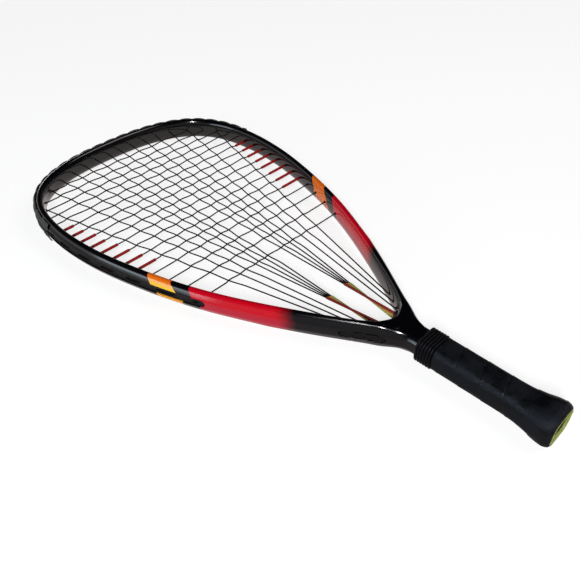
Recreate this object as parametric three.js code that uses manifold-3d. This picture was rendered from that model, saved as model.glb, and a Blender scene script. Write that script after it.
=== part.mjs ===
// A racquetball racket: a one-piece hollow carbon frame strung with one main and one cross string.
// Millimetres, +Z up. The head tip points to -X, the butt to +X, and the string bed is level.
import * as THREE from "three";
import { mergeVertices } from "three/addons/utils/BufferGeometryUtils.js";
import Module from "manifold-3d";

// Overall sizes
const LENGTH = 558.8;
const HEAD_WIDTH = 264;
const HOOP_LENGTH = 407;
const BEAM_WIDTH = 10;
const HEAD_HEIGHT = 22;
const THROAT_HEIGHT = 24;
const WALL = 1;
const CROWN_WALL = 2;
const EDGE_DROP = 7.5;
const EDGE_ROUNDING_SHARE = 0.4;
const EDGE_ROUNDING = EDGE_ROUNDING_SHARE * BEAM_WIDTH;

// Clearances
const SEAT_GAP = 0.3;
const CUT_OVERRUN = 4;
const WELD_DISTANCE = 1e-4;

// Shaft, grip, collar and butt
const SHAFT_WIDTH = 22.4;
const SHAFT_HEIGHT = 19;
const SHAFT_SETBACK = 20.8;
const THROAT_RUN = 25;
const GRIP_WALL = 2.1;
const GRIP_WIDTH = SHAFT_WIDTH + 2 * GRIP_WALL;
const GRIP_HEIGHT = SHAFT_HEIGHT + 2 * GRIP_WALL;
const GRIP_REBATE = 0.8;
const COLLAR_SETBACK = 6.5;
const COLLAR_LENGTH = 15.5;
const COLLAR_LEAD = 4.5;
const COLLAR_RIBS = 6;
const COLLAR_RISE = 0.8;
const RIB_HEIGHT = 0.5;
const BUTT_WIDTH = 36;
const BUTT_HEIGHT = 32;
const FLARE_LENGTH = 42;
const SKIRT_LENGTH = 30;
const SKIRT_FLARE = 22;
const SKIRT_WALL = 0.7;
const RIM_THICKNESS = 2;
const RIM_WIDTH = 3.2;
const RIM_CHAMFER = 0.4;
const RECESS_DEPTH = 6.8;
const END_WALL = 2.4;
const PLUG_DEPTH = 2;
const INLET_DIAMETER = 7;

// Outer groove, bumper guard and grommet strips
const GROOVE_DEPTH = 2.6;
const GROOVE_WIDTH = 8;
const GROOVE_END = 278;
const SLOT_START = 381;
const SLOT_END = 415;
const STRIP_THICKNESS = 0.8;
const WING_THICKNESS = 1.1;
const WING_HEIGHT = 10.2;
const WING_EDGE = 0.8;
const BUMPER_REACH = 94.5;

// Strings, sleeves and anchor
const STRING_DIAMETER = 1.35;
const BARREL_PLAY = 0.65;
const BARREL_WALL = 0.35;
const BARREL_BORE = STRING_DIAMETER + BARREL_PLAY;
const BARREL_DIAMETER = BARREL_BORE + 2 * BARREL_WALL;
const BARREL_STANDOUT = 0.6;
const STRING_SPLIT = 1.6;
const LOOP_SPLIT = 3.4;
const LOOP_STEP = 8;
const TAIL_LENGTH = 6;
const SLEEVE_WALL = 0.45;
const SIDE_SLEEVE_LENGTHS = [12.5, 15, 19.5, 19.5, 22.5, 22.5, 23.5, 24.5];
const SIDE_SLEEVE_SEAT = 0.8;
const FIRST_SLEEVED_CROSS = 5;
const WEAVE_LEAD = 6;
const BUNDLE_ACROSS = 8.5;
const BUNDLE_PITCH = 2.7;
const BUNDLE_PORT_DEPTH = 3;
const BUNDLE_SPLAY = 1.1;
const BUNDLE_BEND_SHARE = 0.71;
const BUNDLE_SLEEVE_PLAY = 0.4;
const BUNDLE_SLEEVE_WALL = 0.2;
const BUNDLE_SLEEVE_BORE = STRING_DIAMETER + BUNDLE_SLEEVE_PLAY;
const BUNDLE_SLEEVE_DIAMETER = BUNDLE_SLEEVE_BORE + 2 * BUNDLE_SLEEVE_WALL;
const BUNDLE_SLEEVE_LENGTH = 62.5;
const THROAT_GROMMET_LENGTH = 9;
const THROAT_GROMMET_WALL = 0.8;
const ANCHOR_THICKNESS = 6;

// Centre line of the hoop, tip to throat, as shares of its length and of half its width.
const HOOP_SHARES = [
  [0, 0],
  [0.0012, 0.16],
  [0.0055, 0.315],
  [0.0165, 0.485],
  [0.039, 0.665],
  [0.076, 0.82],
  [0.138, 0.941],
  [0.24, 1],
  [0.358, 0.984],
  [0.49, 0.898],
  [0.655, 0.727],
  [0.835, 0.45],
  [0.978, 0.178],
];
// Outer line of the throat, as shares of its run and of half the shaft's width.
const THROAT_SHARES = [
  [0.2, 1.84],
  [0.6, 1.31],
  [0.86, 1.06],
  [1, 1],
];
// Round bottom of the head opening, the same way.
const OPENING_SHARES = [
  [-0.14, 0.865],
  [0, 0],
];
// Places of the crosses along the hoop, tip to throat.
const CROSS_SHARES = [
  0.0815, 0.1145, 0.147, 0.18, 0.2125, 0.2455, 0.279, 0.3125, 0.3465, 0.3805, 0.4165, 0.452,
  0.487, 0.5235, 0.5645, 0.6095, 0.661,
];
// One side's seven mains across the head's half width, edge inwards, at this share of the hoop.
const MAIN_SHARES = [0.909, 0.687, 0.539, 0.412, 0.289, 0.171, 0.053];
const MAINS_AT_SHARE = 0.083;
// Throat ends of the three outer mains, as shares of the hoop's length.
const PORT_SHARES = [0.9435, 0.962, 0.979];
// How far a string hole leans from the wall's normal towards the string.
const LEAN_SHARE = 0.45;

const OUTLINE_POINTS = 80;
const OPENING_POINTS = 64;
const FINE_STEPS = 10;
const CORNER_STEPS = 2;
const STRING_SIDES = 5;
const BARREL_SIDES = 5;
const SLEEVE_SIDES = 6;
const SIDES_OF_RACKET = [1, -1];

const { lerp, smoothstep } = THREE.MathUtils;
const wasm = await Module();
wasm.setup();

const half = (size) => size / 2;
const at = (x, y, z = 0) => new THREE.Vector3(x, y, z);
const mirrored = (p) => at(p.x, -p.y, p.z);
const along = (from, direction, distance) => from.clone().addScaledVector(direction, distance);
const union = (solids) => wasm.Manifold.union(solids);

// Manifold solid of vertices and faces, turned so that its faces point out.
function solidOf(positions, faces) {
  const make = () =>
    new wasm.Manifold(
      new wasm.Mesh({
        numProp: 3,
        vertProperties: new Float32Array(positions),
        triVerts: new Uint32Array(faces),
      }),
    );
  const solid = make();
  if (solid.volume() > 0) return solid;
  for (let i = 0; i < faces.length; i += 3) {
    [faces[i], faces[i + 1]] = [faces[i + 1], faces[i]];
  }
  return make();
}

function solidOfGeometry(geometry) {
  geometry.deleteAttribute("normal");
  geometry.deleteAttribute("uv");
  const merged = mergeVertices(geometry, WELD_DISTANCE);
  return solidOf([...merged.attributes.position.array], [...merged.index.array]);
}

function geometryOf(solid) {
  const mesh = solid.getMesh();
  const geometry = new THREE.BufferGeometry();
  geometry.setAttribute("position", new THREE.BufferAttribute(mesh.vertProperties, 3));
  geometry.setIndex(new THREE.BufferAttribute(mesh.triVerts, 1));
  const flat = geometry.toNonIndexed();
  flat.computeVertexNormals();
  return flat;
}

// Skin over rings of equal count: closed on itself when looped, else with a fan over each end.
function skin(rings, looped) {
  const count = rings[0].length;
  const spans = looped ? rings.length : rings.length - 1;
  const faces = [];
  for (let r = 0; r < spans; r++) {
    const here = r * count;
    const next = ((r + 1) % rings.length) * count;
    for (let i = 0; i < count; i++) {
      const j = (i + 1) % count;
      faces.push(here + i, next + i, next + j, here + i, next + j, here + j);
    }
  }
  if (!looped) {
    const last = (rings.length - 1) * count;
    for (let i = 1; i < count - 1; i++) {
      faces.push(0, i, i + 1, last, last + i + 1, last + i);
    }
  }
  return solidOf(rings.flat().flatMap((p) => [p.x, p.y, p.z]), faces);
}

// Tube of the given sides through a list of points: its first ring slides along each span in turn,
// as far as the plane that halves the bend there.
function tube(path, diameter, sides) {
  const runs = path.slice(1).map((p, i) => p.clone().sub(path[i]).normalize());
  const side = at(0, 0, 1).cross(runs[0]).normalize();
  const top = runs[0].clone().cross(side);
  let ring = Array.from({ length: sides }, (_, k) => {
    const turn = (2 * Math.PI * (k + 0.5)) / sides;
    return along(path[0], side, Math.cos(turn) * half(diameter)).addScaledVector(
      top,
      Math.sin(turn) * half(diameter),
    );
  });
  const rings = [ring];
  runs.forEach((run, i) => {
    const end = path[i + 1];
    const plane = run.clone().add(runs[i + 1] ?? run).normalize();
    ring = ring.map((p) => along(p, run, end.clone().sub(p).dot(plane) / run.dot(plane)));
    rings.push(ring);
  });
  return skin(rings, false);
}

// Plate of an outline seen from above, with elliptic edges, its height following the racket's length.
function plate(outline, openings, height, rounding, drop, steps) {
  const shape = new THREE.Shape(outline.toReversed());
  shape.holes = openings.map((points) => new THREE.Path(points));
  const geometry = new THREE.ExtrudeGeometry(shape, {
    depth: height(0) - 2 * drop,
    bevelEnabled: steps > 0,
    bevelThickness: drop,
    bevelSize: rounding,
    bevelOffset: -rounding,
    bevelSegments: steps,
  });
  geometry.translate(0, 0, drop - half(height(0)));
  const place = geometry.attributes.position;
  for (let i = 0; i < place.count; i++) {
    place.setZ(i, (place.getZ(i) * height(place.getX(i))) / height(0));
  }
  return solidOfGeometry(geometry);
}

// Outlines of the frame seen from above, from the tip to the shaft on the +Y side, then mirrored.
const TUBE_TIP = WING_THICKNESS + SEAT_GAP;
const TIP_CENTRE = TUBE_TIP + half(BEAM_WIDTH);
const SHAFT_START = HOOP_LENGTH + THROAT_RUN;
const SHAFT_END = LENGTH - SHAFT_SETBACK;
const centrePoints = HOOP_SHARES.map(([length, across]) =>
  at(
    TIP_CENTRE + length * (HOOP_LENGTH - TIP_CENTRE),
    across * half(HEAD_WIDTH - BEAM_WIDTH),
  ),
);
const bothSides = (points) => [...points.slice(1).reverse().map(mirrored), ...points];
const centreCurve = new THREE.CatmullRomCurve3(bothSides(centrePoints), false, "centripetal");
const outward = centrePoints.map((_, i) => {
  const last = centrePoints.length - 1;
  const tangent = centreCurve.getTangent((last + i) / (2 * last));
  return at(-tangent.y, tangent.x);
});
const hoopPoints = (distance) => centrePoints.map((p, i) => along(p, outward[i], distance));
const throatPoints = (shares, insetAt, drop) =>
  shares.map(([run, across]) =>
    at(HOOP_LENGTH + run * THROAT_RUN + drop, across * half(SHAFT_WIDTH) - insetAt(run)),
  );

const INSET_EASE_SHARE = 0.4;

// Outer line of the frame, drawn in by one inset round the hoop that eases to another at the shaft.
function outerCurve(hoopInset, shaftInset) {
  const insetAt = (run) => lerp(hoopInset, shaftInset, smoothstep(run, INSET_EASE_SHARE, 1));
  const points = [
    ...hoopPoints(half(BEAM_WIDTH) - hoopInset),
    ...throatPoints(THROAT_SHARES, insetAt, 0),
  ];
  return new THREE.CatmullRomCurve3(bothSides(points), false, "centripetal");
}

// Line of the head opening, moved into the wall by an inset.
function openingCurve(inset) {
  const points = [
    ...hoopPoints(-half(BEAM_WIDTH) + inset),
    ...throatPoints(OPENING_SHARES, () => 0, inset),
  ];
  return new THREE.CatmullRomCurve3(bothSides(points).slice(1), true, "centripetal");
}

const openingOutline = (inset, count) => openingCurve(inset).getSpacedPoints(count).slice(1);

function frameOutline(hoopInset, shaftInset, end) {
  const corner = half(SHAFT_WIDTH) - shaftInset;
  return [
    at(end, -corner),
    ...outerCurve(hoopInset, shaftInset).getSpacedPoints(OUTLINE_POINTS),
    at(end, corner),
  ];
}

const RISE_START_SHARE = 0.7;

// Height of the beam: steady round the head, taller at the throat, lower along the shaft.
function beamHeight(x) {
  const rise = (THROAT_HEIGHT - HEAD_HEIGHT) * smoothstep(x, RISE_START_SHARE * HOOP_LENGTH, HOOP_LENGTH);
  const fall = (THROAT_HEIGHT - SHAFT_HEIGHT) * smoothstep(x, HOOP_LENGTH, SHAFT_START);
  return HEAD_HEIGHT + rise - fall;
}

// Points and normals along a line, for what follows it or passes through it.
function traced(curve) {
  const points = curve.getSpacedPoints(OUTLINE_POINTS * FINE_STEPS);
  return points.map((p, i) => {
    const before = points[Math.max(i - 1, 0)];
    const after = points[Math.min(i + 1, points.length - 1)];
    const run = after.clone().sub(before).normalize();
    return { point: p, normal: at(-run.y, run.x) };
  });
}

const outerTrace = traced(outerCurve(0, 0));
const openingTrace = traced(openingCurve(0));
const shifted = (trace, distance) =>
  trace.map(({ point, normal }) => ({ point: along(point, normal, distance), normal }));

// First place where a ray meets a traced line, with the line's normal and index there.
function meet(trace, from, direction) {
  let best = null;
  for (let i = 0; i + 1 < trace.length; i++) {
    const a = trace[i].point;
    const step = trace[i + 1].point.clone().sub(a);
    const cross = direction.x * step.y - direction.y * step.x;
    if (!cross) continue;
    const gap = a.clone().sub(from);
    const reach = (gap.x * step.y - gap.y * step.x) / cross;
    const share = (gap.x * direction.y - gap.y * direction.x) / cross;
    if (share < 0 || share > 1 || reach < 0 || (best && best.reach < reach)) continue;
    best = { reach, point: along(from, direction, reach), normal: trace[i].normal, index: i };
  }
  return best;
}

// Depths in the groove, measured from the frame's outer line: the strip's faces and the loops' centre.
const STRIP_FLOOR = -(GROOVE_DEPTH - SEAT_GAP);
const STRIP_FACE = STRIP_FLOOR + STRIP_THICKNESS;
const LOOP_DEPTH = STRIP_FACE + SEAT_GAP + half(STRING_DIAMETER);
const mouthTrace = shifted(openingTrace, -BARREL_STANDOUT);
const loopTrace = shifted(outerTrace, LOOP_DEPTH);

// A string hole through the beam: where the string, running out along a direction, enters and leaves it.
function holeFor(from, direction, z) {
  const mouth = meet(mouthTrace, from, direction);
  const axis = along(mouth.normal.clone().multiplyScalar(1 - LEAN_SHARE), direction, LEAN_SHARE);
  axis.normalize();
  const exit = meet(loopTrace, mouth.point, axis);
  mouth.point.z = z;
  exit.point.z = z;
  return { mouth: mouth.point, exit: exit.point, axis, index: exit.index };
}

const MAIN_Z = half(STRING_SPLIT);
const CROSS_Z = -half(STRING_SPLIT);

// The mains of one side, edge inwards: their head hole, and their throat hole or place in the bundle,
// where they run out level and then to a port one above the other.
const BUNDLE_MIDDLE = half(PORT_SHARES.length + MAIN_SHARES.length - 1);
function mainsOf(side) {
  return MAIN_SHARES.map((across, i) => {
    const start = at(MAINS_AT_SHARE * HOOP_LENGTH, across * half(HEAD_WIDTH));
    const bundled = i >= PORT_SHARES.length;
    const end = bundled
      ? at(HOOP_LENGTH + BUNDLE_PORT_DEPTH, BUNDLE_ACROSS)
      : meet(openingTrace, at(PORT_SHARES[i] * HOOP_LENGTH, 0), at(0, 1)).point;
    const run = end.clone().sub(start).normalize();
    const inside = start.clone().lerp(end, 0.5);
    const flip = (v) => (side > 0 ? v.clone() : mirrored(v));
    const head = holeFor(flip(inside), flip(run).negate(), MAIN_Z);
    const throat = bundled ? null : holeFor(flip(inside), flip(run), MAIN_Z);
    const bendShare = (BUNDLE_BEND_SHARE * HOOP_LENGTH - start.x) / (end.x - start.x);
    const bend = flip(start.clone().lerp(end, bendShare)).setZ(MAIN_Z);
    const port = flip(end).setZ(side * BUNDLE_PITCH * (i - BUNDLE_MIDDLE));
    return { head, throat, bend, port };
  });
}

const mains = [...mainsOf(1), ...mainsOf(-1).reverse()];
const crosses = CROSS_SHARES.map((share) => {
  const middle = at(share * HOOP_LENGTH, 0);
  return SIDES_OF_RACKET.map((side) => holeFor(middle, at(0, side), CROSS_Z));
});
const mainHoles = mains.flatMap(({ head, throat }) => (throat ? [head, throat] : [head]));
const holes = [...mainHoles, ...crosses.flat()];

// Straight rods along the string holes: cutters for the beam, grommet barrels and their bores.
const rod = (hole, diameter, before, after) =>
  tube(
    [along(hole.mouth, hole.axis, -before), along(hole.exit, hole.axis, after)],
    diameter,
    BARREL_SIDES,
  );

// The frame's own outline points between two places of the outer line, and those places.
const stationsBetween = (first, last) =>
  outerTrace.filter((_, i) => {
    const between = i > first && i < last && i % FINE_STEPS === 0;
    return between || i === first || i === last;
  });

// Band that follows the outer line between two places, from one depth to another.
function band(first, last, inner, outer, height) {
  const run = stationsBetween(first, last);
  const outline = [
    ...run.map(({ point, normal }) => along(point, normal, outer)),
    ...run.toReversed().map(({ point, normal }) => along(point, normal, inner)),
  ];
  const geometry = new THREE.ExtrudeGeometry(new THREE.Shape(outline), {
    depth: height,
    bevelEnabled: false,
  });
  return solidOfGeometry(geometry.translate(0, 0, -half(height)));
}

const indexAt = (x, side) => {
  const middle = Math.floor(outerTrace.length / 2);
  let i = middle;
  while (outerTrace[i].point.x < x) i += side;
  return i;
};
const grooveFirst = indexAt(GROOVE_END, -1);
const grooveLast = indexAt(GROOVE_END, 1);
const bumperFirst = indexAt(BUMPER_REACH, -1);
const bumperLast = indexAt(BUMPER_REACH, 1);

// The outer groove round the head, and a short one on each side of the throat.
const grooveSpans = [
  [grooveFirst, grooveLast],
  [indexAt(SLOT_END, -1), indexAt(SLOT_START, -1)],
  [indexAt(SLOT_START, 1), indexAt(SLOT_END, 1)],
];
const inGrooves = (inner, outer, height) =>
  union(grooveSpans.map(([first, last]) => band(first, last, inner, outer, height)));

// One-piece frame
const outerBody = plate(
  frameOutline(0, 0, SHAFT_END),
  [openingOutline(0, OPENING_POINTS)],
  beamHeight,
  EDGE_ROUNDING,
  EDGE_DROP,
  CORNER_STEPS,
);
const hollowHeight = (x) => beamHeight(x) - 2 * CROWN_WALL;
const HOLLOW_ROUNDING = EDGE_ROUNDING - GROOVE_DEPTH;
const hollow = plate(
  frameOutline(GROOVE_DEPTH + WALL, WALL, SHAFT_END + CUT_OVERRUN),
  [openingOutline(WALL, OPENING_POINTS)],
  hollowHeight,
  HOLLOW_ROUNDING,
  EDGE_DROP - WALL,
  1,
);
const grooves = inGrooves(-GROOVE_DEPTH, CUT_OVERRUN, GROOVE_WIDTH);
const holeCutters = holes.map((hole) =>
  rod(hole, BARREL_DIAMETER + 2 * SEAT_GAP, CUT_OVERRUN, CUT_OVERRUN),
);

// Upright slots in the bottom of the throat, one for each bundle, and the grommet that lines both.
const BUNDLE_RISE = BUNDLE_PITCH * (MAIN_SHARES.length - 1 - BUNDLE_MIDDLE);
const BUNDLE_REACH = half(BUNDLE_SLEEVE_DIAMETER) + SEAT_GAP;
const PASSAGE_HEIGHT = 2 * (BUNDLE_RISE + BUNDLE_REACH);
const PASSAGE_INNER = BUNDLE_ACROSS - BUNDLE_REACH - SEAT_GAP;
const PASSAGE_OUTER = BUNDLE_ACROSS + BUNDLE_REACH + BUNDLE_SPLAY;
const GROMMET_HEIGHT = PASSAGE_HEIGHT + 2 * THROAT_GROMMET_WALL;
const GROMMET_FRONT = HOOP_LENGTH - half(THROAT_GROMMET_LENGTH);
const GROMMET_BACK = GROMMET_FRONT + THROAT_GROMMET_LENGTH;

// Box across one bundle, or both where its inner side is zero, grown sideways and in height.
function throatBox(front, back, side, inner, outer, height) {
  const [y0, y1] = side > 0 ? [inner, outer] : [-outer, -inner];
  const geometry = new THREE.BoxGeometry(back - front, y1 - y0, height);
  return solidOfGeometry(geometry.translate(half(front + back), half(y0 + y1), 0));
}

const throatBoxes = (front, back, growth, height) =>
  SIDES_OF_RACKET.map((side) =>
    throatBox(front, back, side, PASSAGE_INNER - growth, PASSAGE_OUTER + growth, height),
  );
const slots = throatBoxes(
  GROMMET_FRONT - CUT_OVERRUN,
  GROMMET_BACK + CUT_OVERRUN,
  THROAT_GROMMET_WALL + SEAT_GAP,
  GROMMET_HEIGHT + 2 * SEAT_GAP,
);
const frame = outerBody.subtract(union([hollow, grooves, ...slots, ...holeCutters]));

const passages = throatBoxes(
  GROMMET_FRONT - CUT_OVERRUN,
  GROMMET_BACK + CUT_OVERRUN,
  0,
  PASSAGE_HEIGHT,
);
const liners = throatBoxes(GROMMET_FRONT, GROMMET_BACK, THROAT_GROMMET_WALL, GROMMET_HEIGHT);
const bridges = SIDES_OF_RACKET.map((side) =>
  throatBox(HOOP_LENGTH + WALL + SEAT_GAP, GROMMET_BACK, side, 0, BUNDLE_ACROSS, PASSAGE_HEIGHT),
);
const throatGrommet = union([...liners, ...bridges]).subtract(union(passages));

// Grommet strips and bumper guard, with their barrels
const STRIP_HEIGHT = GROOVE_WIDTH - 2 * SEAT_GAP;
const CHANNEL_HEIGHT = STRIP_HEIGHT - 2 * STRIP_THICKNESS;
const channels = inGrooves(STRIP_FACE, STRIP_FACE + CUT_OVERRUN, CHANNEL_HEIGHT);

// Barrels for the holes between two places of the outer line, joined to what carries them.
function withBarrels(carrier, first, last) {
  const own = holes.filter(({ index }) => index > first && index < last);
  const barrels = union(own.map((hole) => rod(hole, BARREL_DIAMETER, 0, LOOP_DEPTH - STRIP_FACE)));
  const bores = union(own.map((hole) => rod(hole, BARREL_BORE, CUT_OVERRUN, CUT_OVERRUN)));
  return union([carrier, barrels.subtract(channels)]).subtract(bores);
}

const stripBetween = (first, last) =>
  withBarrels(band(first, last, STRIP_FLOOR, STRIP_FACE, STRIP_HEIGHT), first, last);

// Depth of the frame's side below its outer line at a height above the string plane.
function sideDepth(z) {
  const rise = (z - half(HEAD_HEIGHT) + EDGE_DROP) / EDGE_DROP;
  return rise > 0 ? -EDGE_ROUNDING * (1 - Math.sqrt(1 - rise * rise)) : 0;
}

// Section of the bumper guard: a floor in the groove, two flanges, and a wing over each side.
function bumperSection() {
  const face = sideDepth(WING_HEIGHT) + SEAT_GAP;
  const flange = half(CHANNEL_HEIGHT);
  const bulge = half(WING_HEIGHT + flange);
  const shoulder = half(WING_HEIGHT + bulge);
  const upper = [
    [face, WING_HEIGHT],
    [face + WING_EDGE, WING_HEIGHT],
    [SEAT_GAP + sideDepth(shoulder) + WING_THICKNESS, shoulder],
    [SEAT_GAP + WING_THICKNESS - half(SEAT_GAP), bulge],
    [SEAT_GAP + WING_THICKNESS, flange],
    [STRIP_FACE, flange],
  ];
  const inner = [
    [STRIP_FLOOR, half(STRIP_HEIGHT)],
    [SEAT_GAP, half(STRIP_HEIGHT)],
    [SEAT_GAP + sideDepth(bulge), bulge],
    [SEAT_GAP + sideDepth(shoulder), shoulder],
  ];
  const below = (points) => points.toReversed().map(([depth, z]) => [depth, -z]);
  return [...upper, ...below(upper), ...below(inner), ...inner];
}

function bumper(first, last) {
  const section = bumperSection();
  const rings = stationsBetween(first, last).map(({ point, normal }) =>
    section.map(([depth, z]) => along(point, normal, depth).setZ(z)),
  );
  return withBarrels(skin(rings, false), first, last);
}

// Strings: each is one unbroken tube, laid out from end to end
const loopPoint = (index, z) => loopTrace[index].point.clone().setZ(z);
const TRACE_STEP = outerTrace[0].point.distanceTo(outerTrace[1].point);

// Loop along the groove from one hole to the next.
function loopBetween(from, to, z) {
  const sign = Math.sign(to.index - from.index);
  const lead = Math.round((LOOP_SPLIT * sign) / TRACE_STEP);
  const first = from.index + lead;
  const last = to.index - lead;
  const steps = Math.max(1, Math.round(Math.abs(last - first) * TRACE_STEP / LOOP_STEP));
  const points = [];
  for (let i = 0; i <= steps; i++) {
    points.push(loopPoint(first + Math.round(((last - first) * i) / steps), z));
  }
  return points;
}

const tail = (hole, sign, z) => [
  loopPoint(hole.index + Math.round((sign * TAIL_LENGTH) / TRACE_STEP), z),
  loopPoint(hole.index + Math.round((sign * LOOP_SPLIT) / TRACE_STEP), z),
];

const ANCHOR_FRONT = SHAFT_END + SEAT_GAP;
const TURN_START = ANCHOR_FRONT + ANCHOR_THICKNESS + SEAT_GAP;
const TURN_STEPS = 4;

// Turn behind the anchor from one bundled main to the one beside it in its stack.
function anchorTurn(from, to) {
  const centre = from.port.clone().lerp(to.port, 0.5);
  const reach = from.port.clone().sub(centre);
  const points = Array.from({ length: TURN_STEPS + 1 }, (_, i) => {
    const turn = (Math.PI * i) / TURN_STEPS;
    const out = TURN_START + half(STRING_DIAMETER) + reach.length() * Math.sin(turn);
    return along(centre, reach, Math.cos(turn)).setX(out);
  });
  return [from.port, ...points, to.port];
}

// Weave of the bed: the side of a cross, 1 over or -1 under, on which a main passes it. The last main
// at each end of a cross, and a main just inside its hole, always pass over.
const crossX = crosses.map(([far]) => far.mouth.x);
const endOf = (main) => (main.throat ? main.throat.mouth : main.port);
const crossed = crossX.map((x) => [...mains.keys()].filter((m) => x > mains[m].head.mouth.x));
function weave(m, c) {
  const atEdge = m === crossed[c][0] || m === crossed[c].at(-1);
  const atHole = crossX[c] - mains[m].head.mouth.x < WEAVE_LEAD;
  return atEdge || atHole || (m + c) % 2 === 0 ? 1 : -1;
}
function meeting(m, c, z) {
  const { head } = mains[m];
  const run = endOf(mains[m]).clone().sub(head.mouth);
  return along(head.mouth, run, (crossX[c] - head.mouth.x) / run.x).setZ(weave(m, c) * z);
}
const mainBed = (main, m) => [
  main.head.mouth,
  ...[...crosses.keys()].filter((c) => crossed[c].includes(m)).map((c) => meeting(m, c, MAIN_Z)),
  main.throat ? main.throat.mouth : main.bend,
];

const MAIN_LOOP_Z = half(LOOP_SPLIT);
const mainPath = [...tail(mains[0].throat, -1, MAIN_LOOP_Z)];
mains.forEach((main, m) => {
  const next = mains[m + 1];
  const throatEnd = main.throat ? [main.throat.exit] : [];
  if (m % 2 === 0) {
    mainPath.push(...throatEnd, ...mainBed(main, m).toReversed(), main.head.exit);
    mainPath.push(...loopBetween(main.head, next.head, MAIN_LOOP_Z));
    return;
  }
  mainPath.push(main.head.exit, ...mainBed(main, m), ...throatEnd);
  if (!next) return;
  if (main.throat) mainPath.push(...loopBetween(main.throat, next.throat, MAIN_LOOP_Z));
  else mainPath.push(...anchorTurn(main, next));
});
mainPath.push(...tail(mains.at(-1).throat, 1, MAIN_LOOP_Z).reverse());

const CROSS_LOOP_Z = -half(LOOP_SPLIT);
const crossPath = [...tail(crosses[0][0], -1, CROSS_LOOP_Z)];
crosses.forEach((pair, c) => {
  const out = c % 2 === 0;
  const [from, to] = out ? pair : pair.toReversed();
  const bed = crossed[c].map((m) => meeting(m, c, CROSS_Z));
  crossPath.push(from.exit, from.mouth, ...(out ? bed : bed.reverse()), to.mouth, to.exit);
  const next = crosses[c + 1];
  if (next) crossPath.push(...loopBetween(to, next[out ? 1 : 0], CROSS_LOOP_Z));
});
crossPath.push(...tail(crosses.at(-1)[1], -1, CROSS_LOOP_Z).reverse());

// Sleeve round a straight stretch of string.
function stringSleeve(from, to, diameter, bore) {
  const direction = to.clone().sub(from).normalize();
  const outside = tube([from, to], diameter, SLEEVE_SIDES);
  const inside = tube(
    [along(from, direction, -CUT_OVERRUN), along(to, direction, CUT_OVERRUN)],
    bore,
    SLEEVE_SIDES,
  );
  return outside.subtract(inside);
}

// Side sleeve on a cross, from its barrel inwards, ending short of the outermost main.
const SIDE_SLEEVE_BORE = STRING_DIAMETER + 2 * SEAT_GAP;
const SIDE_SLEEVE_DIAMETER = SIDE_SLEEVE_BORE + 2 * SLEEVE_WALL;
function sideSleeve(hole, side, length) {
  const edge = side > 0 ? mains[0] : mains.at(-1);
  const run = edge.throat.mouth.clone().sub(edge.head.mouth);
  const share = (hole.mouth.x - edge.head.mouth.x) / run.x;
  const mainY = Math.abs(edge.head.mouth.y + run.y * share);
  const clear = half(SIDE_SLEEVE_DIAMETER + STRING_DIAMETER) + SEAT_GAP;
  const outerEnd = Math.abs(hole.mouth.y) - SIDE_SLEEVE_SEAT;
  const innerEnd = Math.max(outerEnd - length, mainY + clear);
  return stringSleeve(
    at(hole.mouth.x, side * outerEnd, CROSS_Z),
    at(hole.mouth.x, side * innerEnd, CROSS_Z),
    SIDE_SLEEVE_DIAMETER,
    SIDE_SLEEVE_BORE,
  );
}

function bundleSleeve(main) {
  const run = main.port.clone().sub(main.bend).normalize();
  return stringSleeve(
    along(main.port, run, -BUNDLE_SLEEVE_LENGTH),
    main.port,
    BUNDLE_SLEEVE_DIAMETER,
    BUNDLE_SLEEVE_BORE,
  );
}

// Ring square to the shaft, its corners rounded as the shaft's are, or a plain circle.
const SHAFT_DROP = (EDGE_DROP * SHAFT_HEIGHT) / HEAD_HEIGHT;
function ring([x, width, height, round]) {
  const rounding = round ? half(width) : EDGE_ROUNDING + half(width - SHAFT_WIDTH);
  const drop = round ? half(height) : SHAFT_DROP + half(height - SHAFT_HEIGHT);
  const points = [];
  for (const [ySide, zSide, flip] of [
    [1, 1, false],
    [-1, 1, true],
    [-1, -1, false],
    [1, -1, true],
  ]) {
    for (let i = 0; i <= CORNER_STEPS; i++) {
      const turn = (half(Math.PI) * (flip ? CORNER_STEPS - i : i)) / CORNER_STEPS;
      points.push(
        at(
          x,
          ySide * (half(width) - rounding * (1 - Math.cos(turn))),
          zSide * (half(height) - drop * (1 - Math.sin(turn))),
        ),
      );
    }
  }
  return points;
}

const hollowPiece = (outer, inner) => skin([...outer, ...inner.toReversed()].map(ring), true);
const grown = (growth) => [SHAFT_WIDTH + 2 * growth, SHAFT_HEIGHT + 2 * growth];

// String anchor: a block on the end of the shaft, with a hole for each bundled main.
const anchorHoles = mains
  .filter(({ throat }) => !throat)
  .map(({ port }) =>
    tube(
      [
        port.clone().setX(ANCHOR_FRONT - CUT_OVERRUN),
        port.clone().setX(TURN_START + CUT_OVERRUN),
      ],
      BARREL_BORE,
      BARREL_SIDES,
    ),
  );
const anchor = skin(
  [
    ring([ANCHOR_FRONT, ...grown(0)]),
    ring([ANCHOR_FRONT + ANCHOR_THICKNESS, ...grown(0)]),
  ],
  false,
).subtract(union(anchorHoles));

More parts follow.
